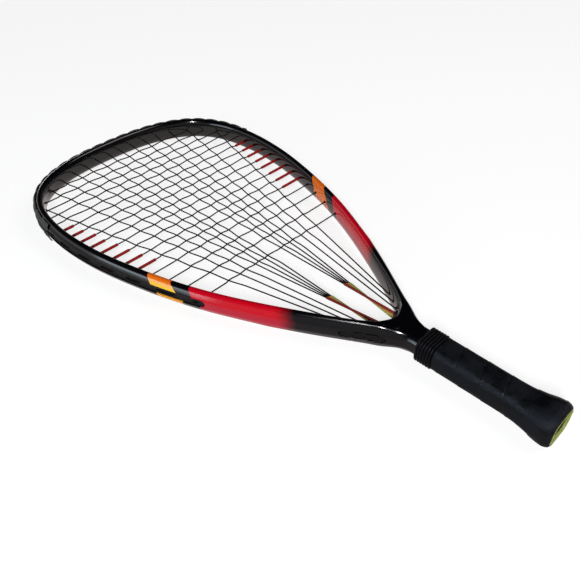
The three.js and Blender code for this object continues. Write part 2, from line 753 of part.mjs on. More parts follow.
// Butt cap: a skirt on the shaft, a flared rim, and an end wall in which the plug sits.
const SKIRT_START = LENGTH - SKIRT_LENGTH;
const SKIRT_BEND = LENGTH - SKIRT_FLARE;
const RIM_START = LENGTH - RIM_THICKNESS;
const RECESS_FLOOR = LENGTH - RECESS_DEPTH;
const CAP_CEILING = RECESS_FLOOR - END_WALL;
const skirt = grown(SEAT_GAP + SKIRT_WALL);
const underGrip = GRIP_WALL + SEAT_GAP;
const flare = [BUTT_WIDTH - 2 * underGrip, BUTT_HEIGHT - 2 * underGrip];
const recess = [BUTT_WIDTH - 2 * RIM_WIDTH, BUTT_HEIGHT - 2 * RIM_WIDTH];
const inlet = [INLET_DIAMETER, INLET_DIAMETER, true];
const buttCap = hollowPiece(
  [
    [SKIRT_START, ...skirt],
    [SKIRT_BEND, ...skirt],
    [CAP_CEILING, ...flare],
    [RIM_START, ...flare],
    [RIM_START, BUTT_WIDTH, BUTT_HEIGHT],
    [LENGTH - RIM_CHAMFER, BUTT_WIDTH, BUTT_HEIGHT],
    [LENGTH, BUTT_WIDTH - 2 * RIM_CHAMFER, BUTT_HEIGHT - 2 * RIM_CHAMFER],
  ],
  [
    [SKIRT_START, ...grown(SEAT_GAP)],
    [CAP_CEILING, ...grown(SEAT_GAP)],
    [CAP_CEILING, ...inlet],
    [RECESS_FLOOR, ...inlet],
    [RECESS_FLOOR, ...recess],
    [LENGTH, ...recess],
  ],
);
const plug = hollowPiece(
  [
    [RECESS_FLOOR + SEAT_GAP, recess[0] - 2 * SEAT_GAP, recess[1] - 2 * SEAT_GAP],
    [LENGTH - PLUG_DEPTH, recess[0] - 2 * SEAT_GAP, recess[1] - 2 * SEAT_GAP],
  ],
  [
    [RECESS_FLOOR + SEAT_GAP, ...inlet],
    [LENGTH - PLUG_DEPTH, ...inlet],
  ],
);

// Grip: a wrapped sleeve, drawn in under the collar and flared over the butt cap's skirt.
const COLLAR_START = SHAFT_START + COLLAR_SETBACK;
const GRIP_START = COLLAR_START + COLLAR_LEAD;
const COLLAR_END = COLLAR_START + COLLAR_LENGTH;
const rebate = [GRIP_WIDTH - 2 * GRIP_REBATE, GRIP_HEIGHT - 2 * GRIP_REBATE];
const overSkirt = skirt.map((size) => size + 2 * SEAT_GAP);
const overFlare = flare.map((size) => size + 2 * SEAT_GAP);
const FLARE_SHARES = [
  [0, 0],
  [0.3, 0.1],
  [0.6, 0.45],
  [0.85, 0.88],
  [1, 1],
];
const FLARE_START = LENGTH - FLARE_LENGTH;
const flareStations = FLARE_SHARES.map(([run, growth]) => [
  FLARE_START + run * (RIM_START - SEAT_GAP - FLARE_START),
  GRIP_WIDTH + growth * (BUTT_WIDTH - GRIP_WIDTH),
  GRIP_HEIGHT + growth * (BUTT_HEIGHT - GRIP_HEIGHT),
]);
const grip = hollowPiece(
  [
    [GRIP_START, ...rebate],
    [COLLAR_END + SEAT_GAP, ...rebate],
    [COLLAR_END + SEAT_GAP, GRIP_WIDTH, GRIP_HEIGHT],
    ...flareStations,
  ],
  [
    [GRIP_START, ...grown(SEAT_GAP)],
    [SKIRT_START - SEAT_GAP, ...grown(SEAT_GAP)],
    [SKIRT_START - SEAT_GAP, ...overSkirt],
    [SKIRT_BEND, ...overSkirt],
    [CAP_CEILING, ...overFlare],
    [RIM_START - SEAT_GAP, ...overFlare],
  ],
);

// Ribbed rubber collar over the front of the grip.
const RIB_PITCH = COLLAR_LENGTH / COLLAR_RIBS;
const RIB_TOP_SHARES = [0.3, 0.7];
const collarTop = [GRIP_WIDTH + 2 * COLLAR_RISE, GRIP_HEIGHT + 2 * COLLAR_RISE];
const collarValley = collarTop.map((size) => size - 2 * RIB_HEIGHT);
const ribs = Array.from({ length: COLLAR_RIBS }, (_, i) => {
  const start = COLLAR_START + i * RIB_PITCH;
  const tops = RIB_TOP_SHARES.map((share) => [start + share * RIB_PITCH, ...collarTop]);
  return [[start, ...collarValley], ...tops];
}).flat();
const collar = hollowPiece(
  [...ribs, [COLLAR_END, ...collarValley]],
  [
    [COLLAR_START, ...grown(SEAT_GAP)],
    [GRIP_START - SEAT_GAP, ...grown(SEAT_GAP)],
    [GRIP_START - SEAT_GAP, ...rebate.map((size) => size + 2 * SEAT_GAP)],
    [COLLAR_END, ...rebate.map((size) => size + 2 * SEAT_GAP)],
  ],
);

// Finishes
const finish = (color, roughness, metalness = 0) =>
  new THREE.MeshStandardMaterial({ color, roughness, metalness });
const carbon = finish(0x15131a, 0.2);
const guardPlastic = finish(0x2a302e, 0.6);
const grommetPlastic = finish(0x17171a, 0.5);
const stringNylon = finish(0x2b1d18, 0.4);
const redSleeve = finish(0xb3202a, 0.4);
const gripWrap = finish(0x1c1e28, 0.65);
const collarRubber = finish(0x14151b, 0.5);
const limePlastic = finish(0xb5c24a, 0.5);
const anchorPlastic = finish(0x3a3a3e, 0.6);
const bundleSleeves = [0x7fb04a, 0xd9b64a, 0xc8782e, 0x8c2a22].map((color) => finish(color, 0.4));

// Assembly: every piece is laid out from the tip and the string plane, and the group moves them all
const racket = new THREE.Group();
racket.position.set(-half(LENGTH), 0, half(BUTT_HEIGHT));
function add(name, solid, material) {
  const mesh = new THREE.Mesh(geometryOf(solid), material);
  mesh.name = name;
  racket.add(mesh);
}

add("frame", frame, carbon);
add("bumper_guard", bumper(bumperFirst, bumperLast), guardPlastic);
const stripGap = Math.ceil(SEAT_GAP / TRACE_STEP);
const addStrip = (name, first, last) =>
  add(name, stripBetween(first + stripGap, last - stripGap), grommetPlastic);
addStrip("grommet_strip_near", grooveFirst, bumperFirst);
addStrip("grommet_strip_far", bumperLast, grooveLast);
addStrip("throat_strip_near", ...grooveSpans[1]);
addStrip("throat_strip_far", ...grooveSpans[2]);
add("throat_grommet", throatGrommet, grommetPlastic);
add("main_string", tube(mainPath, STRING_DIAMETER, STRING_SIDES), stringNylon);
add("cross_string", tube(crossPath, STRING_DIAMETER, STRING_SIDES), stringNylon);
SIDES_OF_RACKET.forEach((side) => {
  const place = side > 0 ? "far" : "near";
  for (let i = 0; i < SIDE_SLEEVE_LENGTHS.length; i++) {
    const hole = crosses[FIRST_SLEEVED_CROSS + i][side > 0 ? 0 : 1];
    add(`side_sleeve_${place}_${i + 1}`, sideSleeve(hole, side, SIDE_SLEEVE_LENGTHS[i]), redSleeve);
  }
  const bundle = mains.filter(({ throat, port }) => !throat && port.y * side > 0);
  bundle.forEach((main, i) => {
    add(`throat_sleeve_${place}_${i + 1}`, bundleSleeve(main), bundleSleeves[i]);
  });
});
add("string_anchor", anchor, anchorPlastic);
add("collar", collar, collarRubber);
add("grip", grip, gripWrap);
add("butt_cap", buttCap, limePlastic);
add("butt_plug", plug, grommetPlastic);

export default racket;
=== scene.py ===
import bmesh
import bpy
import numpy as np
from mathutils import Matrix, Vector


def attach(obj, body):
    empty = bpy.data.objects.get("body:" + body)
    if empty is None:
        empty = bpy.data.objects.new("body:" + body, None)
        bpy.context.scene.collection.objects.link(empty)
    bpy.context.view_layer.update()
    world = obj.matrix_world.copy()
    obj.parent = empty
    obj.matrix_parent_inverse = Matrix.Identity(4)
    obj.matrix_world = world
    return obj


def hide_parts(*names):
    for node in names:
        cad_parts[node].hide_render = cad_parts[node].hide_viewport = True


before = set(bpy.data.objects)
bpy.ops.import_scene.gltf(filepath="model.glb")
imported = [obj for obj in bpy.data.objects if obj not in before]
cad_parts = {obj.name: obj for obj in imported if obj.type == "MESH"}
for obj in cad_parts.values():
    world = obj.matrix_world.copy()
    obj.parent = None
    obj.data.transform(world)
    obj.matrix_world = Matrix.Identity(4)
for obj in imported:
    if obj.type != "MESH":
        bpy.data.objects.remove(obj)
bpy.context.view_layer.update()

# --------------------------------------------
# Frame: one hollow carbon moulding of hoop, throat and shaft, lacquered over painted fields.
# Each half is a skin between the outer line and the line of the head opening. Its edges are
# rounded, and a groove round the head and a short one at the throat are moulded in its side.
LENGTH = 558.8
HOOP_LENGTH = 407
HALF_CENTRE = 127
TIP_CENTRE = 6.4
HALF_BEAM = 5
HEAD_HEIGHT, THROAT_HEIGHT, SHAFT_HEIGHT = 22, 24, 19
SHAFT_START, SHAFT_END, SHAFT_HALF = 432, 538, 11.2
EDGE_ROUNDING, EDGE_DROP_SHARE, INNER_DROP_SHARE = 4, 7.5 / 22, 9.6 / 22
# Outer edge above the groove: how far in at each share of its height, a bevel and then a rounding.
BEVEL_IN = np.array([5, 4.1, 3.3, 2.6, 2.0, 1.5, 1.0, 0.5, 0])
BEVEL_UP = np.array([1, 0.965, 0.88, 0.76, 0.62, 0.48, 0.32, 0.16, 0])
GROOVE_DEPTH, GROOVE_HALF, GROOVE_LIP, GROOVE_HALF_MIN = 2.6, 4, 0.4, 0.9
GROOVES = [(-20, 278), (381, 415)]
TO_ROW = np.array([-LENGTH / 2, 0, 16])

# Centre line of the hoop, tip to throat, as shares of its length and half width. Then the outer
# line of the throat and the round bottom of the opening.
HOOP_SHARES = np.array(
    [[0, 0], [0.0012, 0.16], [0.0055, 0.315], [0.0165, 0.485], [0.039, 0.665], [0.076, 0.82]]
    + [[0.138, 0.941], [0.24, 1], [0.358, 0.984], [0.49, 0.898], [0.655, 0.727], [0.835, 0.45]]
    + [[0.978, 0.178]]
)
THROAT_LINE = np.array([[412, 20.6], [422, 14.67], [428.5, 11.87], [432, 11.2]])
OPENING_BOTTOM = np.array([[403.5, 9.69], [407, 0]])
# Knot numbers: the last one of the hoop, the first one of the throat, and the two lines' ends.
HOOP_KNOT, THROAT_KNOT, BOTTOM_KNOT, SHAFT_KNOT = 12, 13, 14, 16


def spline(points, before, after, at):
    """Centripetal Catmull-Rom curve: on the span from p1 to p2, the cubic Hermite whose end slopes
    are (p1-p0)/d0 - (p2-p0)/(d0+d1) + (p2-p1)/d1 and the same one span on, where each d is the
    root of a span's length."""
    p = np.vstack([before, points, after])
    span = np.clip(at.astype(int), 0, len(points) - 2)
    t = (at - span)[:, None]
    p0, p1, p2, p3 = (p[span + i] for i in range(4))
    d0, d1, d2 = (
        np.sqrt(np.linalg.norm(b - a, axis=1))[:, None] for a, b in [(p0, p1), (p1, p2), (p2, p3)]
    )
    leaving = ((p1 - p0) / d0 - (p2 - p0) / (d0 + d1) + (p2 - p1) / d1) * d1
    arriving = ((p2 - p1) / d1 - (p3 - p1) / (d1 + d2) + (p3 - p2) / d2) * d1
    turn = 3 * t**2 - 2 * t**3
    return p1 * (1 - turn) + p2 * turn + leaving * (t - 2 * t**2 + t**3) + arriving * (t**3 - t**2)


def normals(points):
    """Unit normals of a line in the plane, to the left of its direction."""
    run = np.gradient(points, axis=0)
    side = np.stack([-run[:, 1], run[:, 0]], 1)
    return side / np.linalg.norm(side, axis=1)[:, None]


def smooth(x, low, high):
    """Smoothstep, 3t^2 - 2t^3, of x from low to high."""
    t = np.clip((x - low) / (high - low), 0, 1)
    return t * t * (3 - 2 * t)


MIRROR = np.array([1, -1])
centre = HOOP_SHARES * [HOOP_LENGTH - TIP_CENTRE, HALF_CENTRE] + [TIP_CENTRE, 0]
last = len(centre) - 1
near_knots = np.arange(last + 1)[:, None] + [-1e-3, 0, 1e-3]
around = spline(
    np.vstack([centre[:0:-1] * MIRROR, centre]),
    2 * centre[-1] * MIRROR - centre[-2] * MIRROR,
    2 * centre[-1] - centre[-2],
    np.clip(near_knots.ravel() + last, 0, 2 * last),
).reshape(-1, 3, 2)
slope = around[:, 2] - around[:, 0]
outward = np.stack([-slope[:, 1], slope[:, 0]], 1) / np.linalg.norm(slope, axis=1)[:, None]
outer_knots = np.vstack([centre + HALF_BEAM * outward, THROAT_LINE])
opening_knots = np.vstack([centre - HALF_BEAM * outward, OPENING_BOTTOM])


def outer_line(at):
    """Outer line of the +Y half at these knot numbers, 0 at the tip and 16 at the shaft."""
    return spline(outer_knots, outer_knots[1] * MIRROR, 2 * outer_knots[-1] - outer_knots[-2], at)


def opening_line(at):
    """Line of the head opening's +Y half, 0 at the tip and 14 at its bottom."""
    return spline(opening_knots, opening_knots[1] * MIRROR, opening_knots[-2] * MIRROR, at)


def beam_height(x):
    """Height of the beam: steady round the head, taller at the throat, lower along the shaft."""
    rise = (THROAT_HEIGHT - HEAD_HEIGHT) * smooth(x, 0.7 * HOOP_LENGTH, HOOP_LENGTH)
    fall = (THROAT_HEIGHT - SHAFT_HEIGHT) * smooth(x, HOOP_LENGTH, SHAFT_START)
    return HEAD_HEIGHT + rise - fall


def grid_faces(rows, columns, looped=False):
    """Quads of a grid of points, its columns closed on themselves where looped."""
    i = np.arange(rows - 1)[:, None] * columns
    j = np.arange(columns if looped else columns - 1)
    k = (j + 1) % columns
    return np.stack([i + j, i + k, i + columns + k, i + columns + j], -1).reshape(-1, 4)


def mesh_piece(name, grids, sharp=40):
    """Object of one or more point grids (rows, columns, 3), given as (grid, looped), in the part's
    own frame. Edges that meet are welded, and faces are turned outwards."""
    points, faces, count = [], [], 0
    for grid, looped in grids:
        rows, columns = grid.shape[:2]
        points.append(grid.reshape(-1, 3))
        faces.append(grid_faces(rows, columns, looped) + count)
        count += rows * columns
    corners = np.concatenate(faces)
    mesh = bpy.data.meshes.new(name)
    mesh.vertices.add(count)
    mesh.vertices.foreach_set("co", ((np.concatenate(points) + TO_ROW) * 1e-3).ravel())
    mesh.loops.add(corners.size)
    mesh.loops.foreach_set("vertex_index", corners.ravel().astype(np.int32))
    mesh.polygons.add(len(corners))
    mesh.polygons.foreach_set("loop_start", np.arange(0, corners.size, 4, dtype=np.int32))
    mesh.update(calc_edges=True)
    work = bmesh.new()
    work.from_mesh(mesh)
    bmesh.ops.remove_doubles(work, verts=work.verts, dist=2e-6)
    bmesh.ops.dissolve_degenerate(work, edges=work.edges, dist=1e-7)
    bmesh.ops.recalc_face_normals(work, faces=work.faces)
    work.to_mesh(mesh)
    work.free()
    mesh.polygons.foreach_set("use_smooth", np.ones(len(mesh.polygons), bool))
    mesh.set_sharp_from_angle(angle=np.radians(sharp))
    made = bpy.data.objects.new(name, mesh)
    bpy.context.scene.collection.objects.link(made)
    return made


def settle(piece, slot, material, *nodes):
    """Rides the piece on the racket in the place of its CAD nodes, with its material."""
    piece.data.materials.append(material)
    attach(piece, "root")
    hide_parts(*nodes)


def lift(plan, z):
    """Points in the plane given a height each: (..., 2) and (...) to (..., 3)."""
    return np.concatenate([plan, np.broadcast_to(z, plan.shape[:-1])[..., None]], -1)


def mirrored(grid):
    """The same grid on the -Y side."""
    return grid * [1, -1, 1]


# Stations along a half: evenly by knot number, and closer together at each end of a groove.
fine = np.linspace(0, SHAFT_KNOT, 16001)
groove_end_x = np.array([GROOVES[0][1], *GROOVES[1]])[:, None] + np.linspace(-6, 6, 49)
groove_ends = np.interp(groove_end_x, outer_line(fine)[:, 0], fine).ravel()
even = [np.linspace(0, HOOP_KNOT, 360), np.linspace(HOOP_KNOT, SHAFT_KNOT, 64)]
all_at = np.unique(np.concatenate([*even, groove_ends]))
hoop_at, throat_at = all_at[all_at <= HOOP_KNOT], all_at[all_at >= THROAT_KNOT]
turn_at = all_at[(all_at > HOOP_KNOT) & (all_at < THROAT_KNOT)]
shaft_x = np.linspace(SHAFT_START, SHAFT_END, 30)[1:]

outer = np.vstack(
    [
        outer_line(np.concatenate([hoop_at, turn_at, throat_at])),
        np.stack([shaft_x, np.full_like(shaft_x, SHAFT_HALF)], 1),
    ]
)
bottom_at = HOOP_KNOT + 2 * (turn_at - HOOP_KNOT)
inner = opening_line(np.concatenate([hoop_at, bottom_at, [BOTTOM_KNOT]]))
outer_normal = normals(outer)
outer_normal[0] = [-1, 0]
inner_normal = normals(inner)
inner_normal[0], inner_normal[-1] = [-1, 0], [1, 0]
crown_edge = inner + EDGE_ROUNDING * inner_normal
axis_share = np.linspace(0, 1, len(outer) - len(inner) + 1)[1:] ** 1.15
axis_x = np.interp(axis_share, [0, 1], [crown_edge[-1, 0], SHAFT_END])
crown_edge = np.vstack([crown_edge, np.stack([axis_x, np.zeros_like(axis_x)], 1)])

# Groove: its open share and half width at each station, round at each end.
from_end = np.max([np.minimum(outer[:, 0] - a, b - outer[:, 0]) for a, b in GROOVES], 0)
open_share = smooth(from_end, 0, 1)
reach = np.clip(GROOVE_HALF - from_end, 0, GROOVE_HALF)
groove_half = np.maximum(np.sqrt(GROOVE_HALF**2 - reach**2), GROOVE_HALF_MIN)
corner = np.radians(np.linspace(90, 0, 9))


def edge_section(half_height, drop_share):
    """Rounded edge as (inwards, up): a quarter of an ellipse from the flat face to the wall."""
    drop = 2 * half_height * drop_share
    inwards = EDGE_ROUNDING * (1 - np.cos(corner))
    return inwards, half_height[:, None] - drop[:, None] * (1 - np.sin(corner))


# Outer edge: the bevel round the head, which passes into the plain rounding between 30 and 75 mm
# past the groove's end.
half_height = beam_height(outer[:, 0]) / 2
round_in, round_up = edge_section(half_height, EDGE_DROP_SHARE)
bevel_share = smooth(from_end, -75, -30)[:, None]
lip_up = GROOVE_HALF + GROOVE_LIP
bevel_up = lip_up + (half_height[:, None] - lip_up) * BEVEL_UP
edge_in = round_in + bevel_share * (BEVEL_IN - round_in)
edge_up = round_up + bevel_share * (bevel_up - round_up)
groove_in = np.array([0, 0.12, 0.4, *(GROOVE_DEPTH - np.array([0.4, 0.1, 0, 0]))])
groove_out = np.array([GROOVE_LIP, 0.12, 0, -0.06, -0.15, -0.5, 0])
groove_up = groove_half[:, None] + groove_out
groove_up[:, -1] = 0
wall_up = edge_up[:, -1:] + (groove_up[:, :1] - edge_up[:, -1:]) * np.array([0.33, 0.67])
top_in = np.hstack([edge_in, 0 * wall_up, open_share[:, None] * groove_in])
top_up = np.hstack([edge_up, wall_up, groove_up])
side_in = np.hstack([top_in, top_in[:, -2::-1]])
side_up = np.hstack([top_up, -top_up[:, -2::-1]])
side_plan = outer[:, None] - side_in[..., None] * outer_normal[:, None]
share = np.linspace(0, 1, 7)[:-1, None]
flat_plan = crown_edge[:, None] * (1 - share) + side_plan[:, :1] * share
flat = lift(flat_plan, beam_height(flat_plan[..., 0]) / 2)
outside = np.concatenate([flat, lift(side_plan, side_up), flat[:, ::-1] * [1, 1, -1]], 1)

inner_half = beam_height(crown_edge[: len(inner), 0]) / 2
rim_in, rim_up = edge_section(inner_half, INNER_DROP_SHARE)
wall = rim_up[:, -1:] * np.array([0.6, 0.2, -0.2, -0.6])
rim_plan = inner[:, None] + rim_in[:, None] * inner_normal[:, None]
wall_plan = np.repeat(inner[:, None], 4, 1)
inside = np.concatenate(
    [lift(rim_plan, rim_up), lift(wall_plan, wall), lift(rim_plan[:, ::-1], -rim_up[:, ::-1])], 1
)
columns = outside.shape[1]
end_pair = np.stack([outside[-1, : columns // 2 + 1], outside[-1, : columns // 2 - 1 : -1]])
half_frame = [outside, inside, end_pair]
frame_piece = mesh_piece(
    "frame_shell", [(g, False) for g in half_frame] + [(mirrored(g), False) for g in half_frame], 50
)


def join(tree, socket, value):
    """Links another node's output to a socket, or sets the socket to a plain value."""
    if isinstance(value, bpy.types.NodeSocket):
        tree.links.new(value, socket)
    else:
        socket.default_value = value


def node(tree, kind, settings=(), inputs=()):
    """Shader node with its settings, and each input set to a value or joined to another output."""
    made = tree.nodes.new("ShaderNode" + kind)
    for name, value in dict(settings).items():
        setattr(made, name, value)
    for name, value in dict(inputs).items():
        join(tree, made.inputs[name], value)
    return made


def maths(tree, operation, *values):
    """A Math node's result."""
    settings = {"operation": operation}
    return node(tree, "Math", settings, dict(enumerate(values))).outputs[0]


def ramp(tree, value, stops):
    """Colour ramp of a value, its stops (place, colour)."""
    made = node(tree, "ValToRGB", (), {"Fac": value})
    while len(made.color_ramp.elements) < len(stops):
        made.color_ramp.elements.new(1)
    for element, (place, colour) in zip(made.color_ramp.elements, stops):
        element.position = place
        element.color = (*colour, 1)
    return made.outputs["Color"]


def mix(tree, share, a, b):
    """Colour mixed from a to b by a share."""
    settings = {"data_type": "RGBA"}
    return node(tree, "Mix", settings, {0: share, 6: a, 7: b}).outputs[2]


def value_range(tree, value, low, high, to_low, to_high):
    """A value's smoothstep from low to high, spread from to_low to to_high."""
    settings = {"interpolation_type": "SMOOTHSTEP"}
    ends = {0: value, 1: low, 2: high, 3: to_low, 4: to_high}
    return node(tree, "MapRange", settings, ends).outputs[0]


def noise(tree, point, scale, detail):
    """Noise of a scale at a point, from 0 to 1."""
    inputs = {"Vector": point, "Scale": scale, "Detail": detail}
    return node(tree, "TexNoise", (), inputs).outputs[0]


def bump(tree, strength, depth, height):
    """Normal of a height, its depth in metres."""
    inputs = {"Strength": strength, "Distance": depth, "Height": height}
    return node(tree, "Bump", (), inputs).outputs[0]


# Input of every group that works from a point.
POINT = {"Point": (0, 0, 0)}


def node_group(name, inputs, outputs):
    """Node group with named sockets: inputs with their values, a number, a vector of three or a
    colour of four, and the names of its outputs, all numbers but the colour."""
    tree = bpy.data.node_groups.new(name, "ShaderNodeTree")
    for socket, value in inputs.items():
        kind = "NodeSocket" + {1: "Float", 3: "Vector", 4: "Color"}[np.size(value)]
        made = tree.interface.new_socket(socket, in_out="INPUT", socket_type=kind)
        made.default_value = value
    for socket in outputs:
        kind = "NodeSocket" + ("Color" if socket == "Colour" else "Float")
        tree.interface.new_socket(socket, in_out="OUTPUT", socket_type=kind)
    entry = tree.nodes.new("NodeGroupInput")
    leave = tree.nodes.new("NodeGroupOutput")
    return tree, entry.outputs, leave.inputs


def use(tree, group, inputs=()):
    """Outputs of a node group placed in a material."""
    return node(tree, "Group", {"node_tree": group}, inputs).outputs


def new_material(name):
    """Material with its node tree, its Principled node, and the object's own coordinates."""
    made = bpy.data.materials.new(name)
    made.use_nodes = True
    tree = made.node_tree
    return made, tree, tree.nodes["Principled BSDF"], node(tree, "TexCoord").outputs["Object"]


def put(tree, target, **inputs):
    """Joins or sets the inputs of the Principled node, underscores standing for spaces."""
    for name, value in inputs.items():
        join(tree, target.inputs[name.replace("_", " ")], value)


# Place on the racket in millimetres: along from the tip, across from the middle and up from the
# strings.
place_names = ["Along", "Across", "Up"]
place_group, given, leave = node_group("Place", POINT, place_names)
tree = place_group
xyz = node(tree, "SeparateXYZ", (), {0: given["Point"]}).outputs
for i, name in enumerate(place_names):
    tree.links.new(maths(tree, "MULTIPLY_ADD", xyz[i], 1000, -TO_ROW[i]), leave[name])

# Painted field: 1 between two ends along the racket, slanted over the upper edge, and between two
# heights, each end soft by a width.
inputs = {"Along": 0, "Up": 0, "Start": 0, "End": 1, "Start Slant": 0, "End Slant": 0}
inputs |= {"Start Softness": 0.4, "End Softness": 0.4, "Low": -20, "High": 20}
field_group, given, leave = node_group("Painted Field", inputs, ["Mask"])
tree = field_group


def above_line(tree, value, line, softness):
    """0 below a line and 1 above it, soft by a width on each side."""
    low = maths(tree, "SUBTRACT", line, softness)
    return value_range(tree, value, low, maths(tree, "ADD", line, softness), 0, 1)


bent = maths(tree, "MAXIMUM", maths(tree, "SUBTRACT", given["Up"], 3), 0)
start = maths(tree, "MULTIPLY_ADD", bent, given["Start Slant"], given["Start"])
end = maths(tree, "MULTIPLY_ADD", bent, given["End Slant"], given["End"])
begun = above_line(tree, given["Along"], start, given["Start Softness"])
ended = above_line(tree, given["Along"], end, given["End Softness"])
over = above_line(tree, given["Up"], given["Low"], 0.25)
under = above_line(tree, given["Up"], given["High"], 0.25)
lengthwise = maths(tree, "SUBTRACT", begun, ended)
upright = maths(tree, "SUBTRACT", over, under)
tree.links.new(maths(tree, "MULTIPLY", lengthwise, upright), leave["Mask"])

# Handling: broad smudges and fine scuffs, as a change of roughness and a height.
inputs = POINT | {"Smudges": 0.1, "Scuffs": 0.1}
handling_group, given, leave = node_group("Handling", inputs, ["Roughness Change", "Height"])
tree = handling_group
broad = noise(tree, given["Point"], 38, 4)
streaks = {"Vector": given["Point"], "Rotation": (0.3, 0.2, 0.7), "Scale": (900, 60, 400)}
stretched = node(tree, "Mapping", (), streaks).outputs[0]
scuff = value_range(tree, noise(tree, stretched, 1, 5), 0.58, 0.78, 0, 1)
speckle = noise(tree, given["Point"], 2600, 2)
smudge = maths(tree, "MULTIPLY", maths(tree, "SUBTRACT", broad, 0.45), given["Smudges"])
rougher = maths(tree, "MULTIPLY_ADD", scuff, given["Scuffs"], smudge)
tree.links.new(rougher, leave["Roughness Change"])
tree.links.new(maths(tree, "MULTIPLY_ADD", scuff, -0.4, speckle), leave["Height"])

# Worn edge: convex edges, broken up by noise.
inputs = POINT | {"From": 0.52, "To": 0.6}
wear_group, given, leave = node_group("Worn Edge", inputs, ["Mask"])
tree = wear_group
pointiness = node(tree, "NewGeometry").outputs["Pointiness"]
patchy = value_range(tree, noise(tree, given["Point"], 420, 4), 0.42, 0.68, 0, 1)
edge = value_range(tree, pointiness, given["From"], given["To"], 0, 1)
tree.links.new(maths(tree, "MULTIPLY", edge, patchy), leave["Mask"])

# Lacquer: nearly black, a faint blue in places, with an orange patch and a long crimson field.
BLACK, BLUE_BLACK = (0.0006, 0.0004, 0.0006, 1), (0.0014, 0.0012, 0.0026, 1)
# The second crimson is the lower wall's: the field's crimson darkened by painted shade.
CRIMSON, PAINTED_SHADE_CRIMSON = (0.6, 0.001, 0.012, 1), (0.5, 0.01, 0.035, 1)
# Yellow is the orange patch's painted highlight.
ORANGE, AMBER, HIGHLIGHT_YELLOW = (0.86, 0.16, 0.006, 1), (0.95, 0.38, 0.01, 1), (1, 0.62, 0.025, 1)
lacquer, tree, principled, point = new_material("lacquered_carbon")
place = use(tree, place_group, {"Point": point})
handled = use(tree, handling_group, {"Point": point, "Smudges": 0.08, "Scuffs": 0.12})
flake = node(tree, "TexVoronoi", (), {"Vector": point, "Scale": 3200}).outputs["Distance"]
dark = mix(tree, value_range(tree, noise(tree, point, 16, 2), 0.35, 0.7, 0, 1), BLACK, BLUE_BLACK)

# The fields of the +Y side start a little sooner.
ahead = maths(tree, "MULTIPLY", value_range(tree, place["Across"], -5, 5, 0, 1), 3)
field_along = maths(tree, "ADD", place["Along"], ahead)


def painted(ends, heights, slants=(0, 0), end_softness=0.4):
    """Mask of one painted field: its two ends, its two heights and the slants of its ends."""
    inputs = {"Along": field_along, "Up": place["Up"], "End Softness": end_softness}
    inputs |= dict(zip(("Start", "End", "Low", "High"), (*ends, *heights)))
    inputs |= dict(zip(("Start Slant", "End Slant"), slants))
    return use(tree, field_group, inputs)["Mask"]


FIELD_SPLIT, FADE = -2, 9
upper_patch = painted((229, 254), (FIELD_SPLIT, 14), (-0.95, -1.25))
patch = maths(tree, "ADD", upper_patch, painted((232.5, 257.5), (-9.5, FIELD_SPLIT)))
upper_red = painted((267.5, 343), (FIELD_SPLIT, 14), (-0.8, -0.6), FADE)
red = maths(tree, "ADD", upper_red, painted((273.5, 343), (-14, FIELD_SPLIT), (0, 0), FADE))
# Crimson field: crimson paint, its lower part darker and paler as a painted shade where less light
# falls.
crimson_with_painted_shade = mix(tree, value_range(tree, place["Up"], -2, 5, 0, 1), PAINTED_SHADE_CRIMSON, CRIMSON)
# Orange field: orange paint, and on its outer side a painted highlight, amber with a bright yellow
# band across it.
share = maths(tree, "MULTIPLY_ADD", place["Up"], 1 / HEAD_HEIGHT, 0.5)
painted_highlight_stops = [(0.05, AMBER), (0.6, AMBER), (0.74, HIGHLIGHT_YELLOW), (0.85, AMBER), (0.95, ORANGE)]
patch_with_painted_highlight = ramp(tree, share, [(at, colour[:3]) for at, colour in painted_highlight_stops])
# The amber and yellow middle is a painted highlight over the orange paint, on the outer side only.
facing = node(tree, "SeparateXYZ", (), {0: node(tree, "TexCoord").outputs["Normal"]}).outputs["Y"]
painted_highlight_side = value_range(tree, maths(tree, "MULTIPLY", facing, place["Across"]), -12, 12, 0, 1)
colour = mix(tree, red, dark, crimson_with_painted_shade)
colour = mix(tree, patch, colour, mix(tree, painted_highlight_side, ORANGE, patch_with_painted_highlight))
colour = mix(tree, maths(tree, "MULTIPLY", flake, 0.003), colour, (0.3, 0.3, 0.34, 1))
put(
    tree,
    principled,
    Base_Color=colour,
    Roughness=maths(tree, "ADD", 0.14, handled["Roughness Change"]),
    Specular_IOR_Level=0.5,
    Normal=bump(tree, 0.03, 0.0001, handled["Height"]),
)
settle(frame_piece, "painted_carbon", lacquer, "frame")

# --------------------------------------------
# Bumper guard: a moulded nylon strip pressed into the groove round the head, with a scalloped
# wing over each side of the beam, and one barrel for each string that leaves through it.
SEAT = 0.3
BUMPER_REACH = 94.5
SCALLOP_PITCH, SCALLOP_DEPTH = 16.2, 1.1
STRIP_FACE = -1.5
STRING, BARREL, BARREL_BORE, BARREL_START, BARREL_STANDOUT = 1.35, 2.7, 2, 1.3, 0.6
# How much a hole leans from the beam's normal towards its string.
LEAN_SHARE = 0.45
MAIN_UP, CROSS_UP = 0.8, -0.8
CROSS_SHARES = np.array(
    [0.0815, 0.1145, 0.147, 0.18, 0.2125, 0.2455, 0.279, 0.3125, 0.3465, 0.3805, 0.4165, 0.452]
    + [0.487, 0.5235, 0.5645, 0.6095, 0.661]
)
MAIN_SHARES = np.array([0.909, 0.687, 0.539, 0.412, 0.289, 0.171, 0.053])
PORT_SHARES = np.array([0.9435, 0.962, 0.979])
MAIN_START, MAIN_SPREAD = 0.083, 132
BUNDLE_ACROSS, BUNDLE_PITCH, BUNDLE_BEND, BUNDLE_PORT = 8.5, 2.7, 289, 410
STEP = 0.5


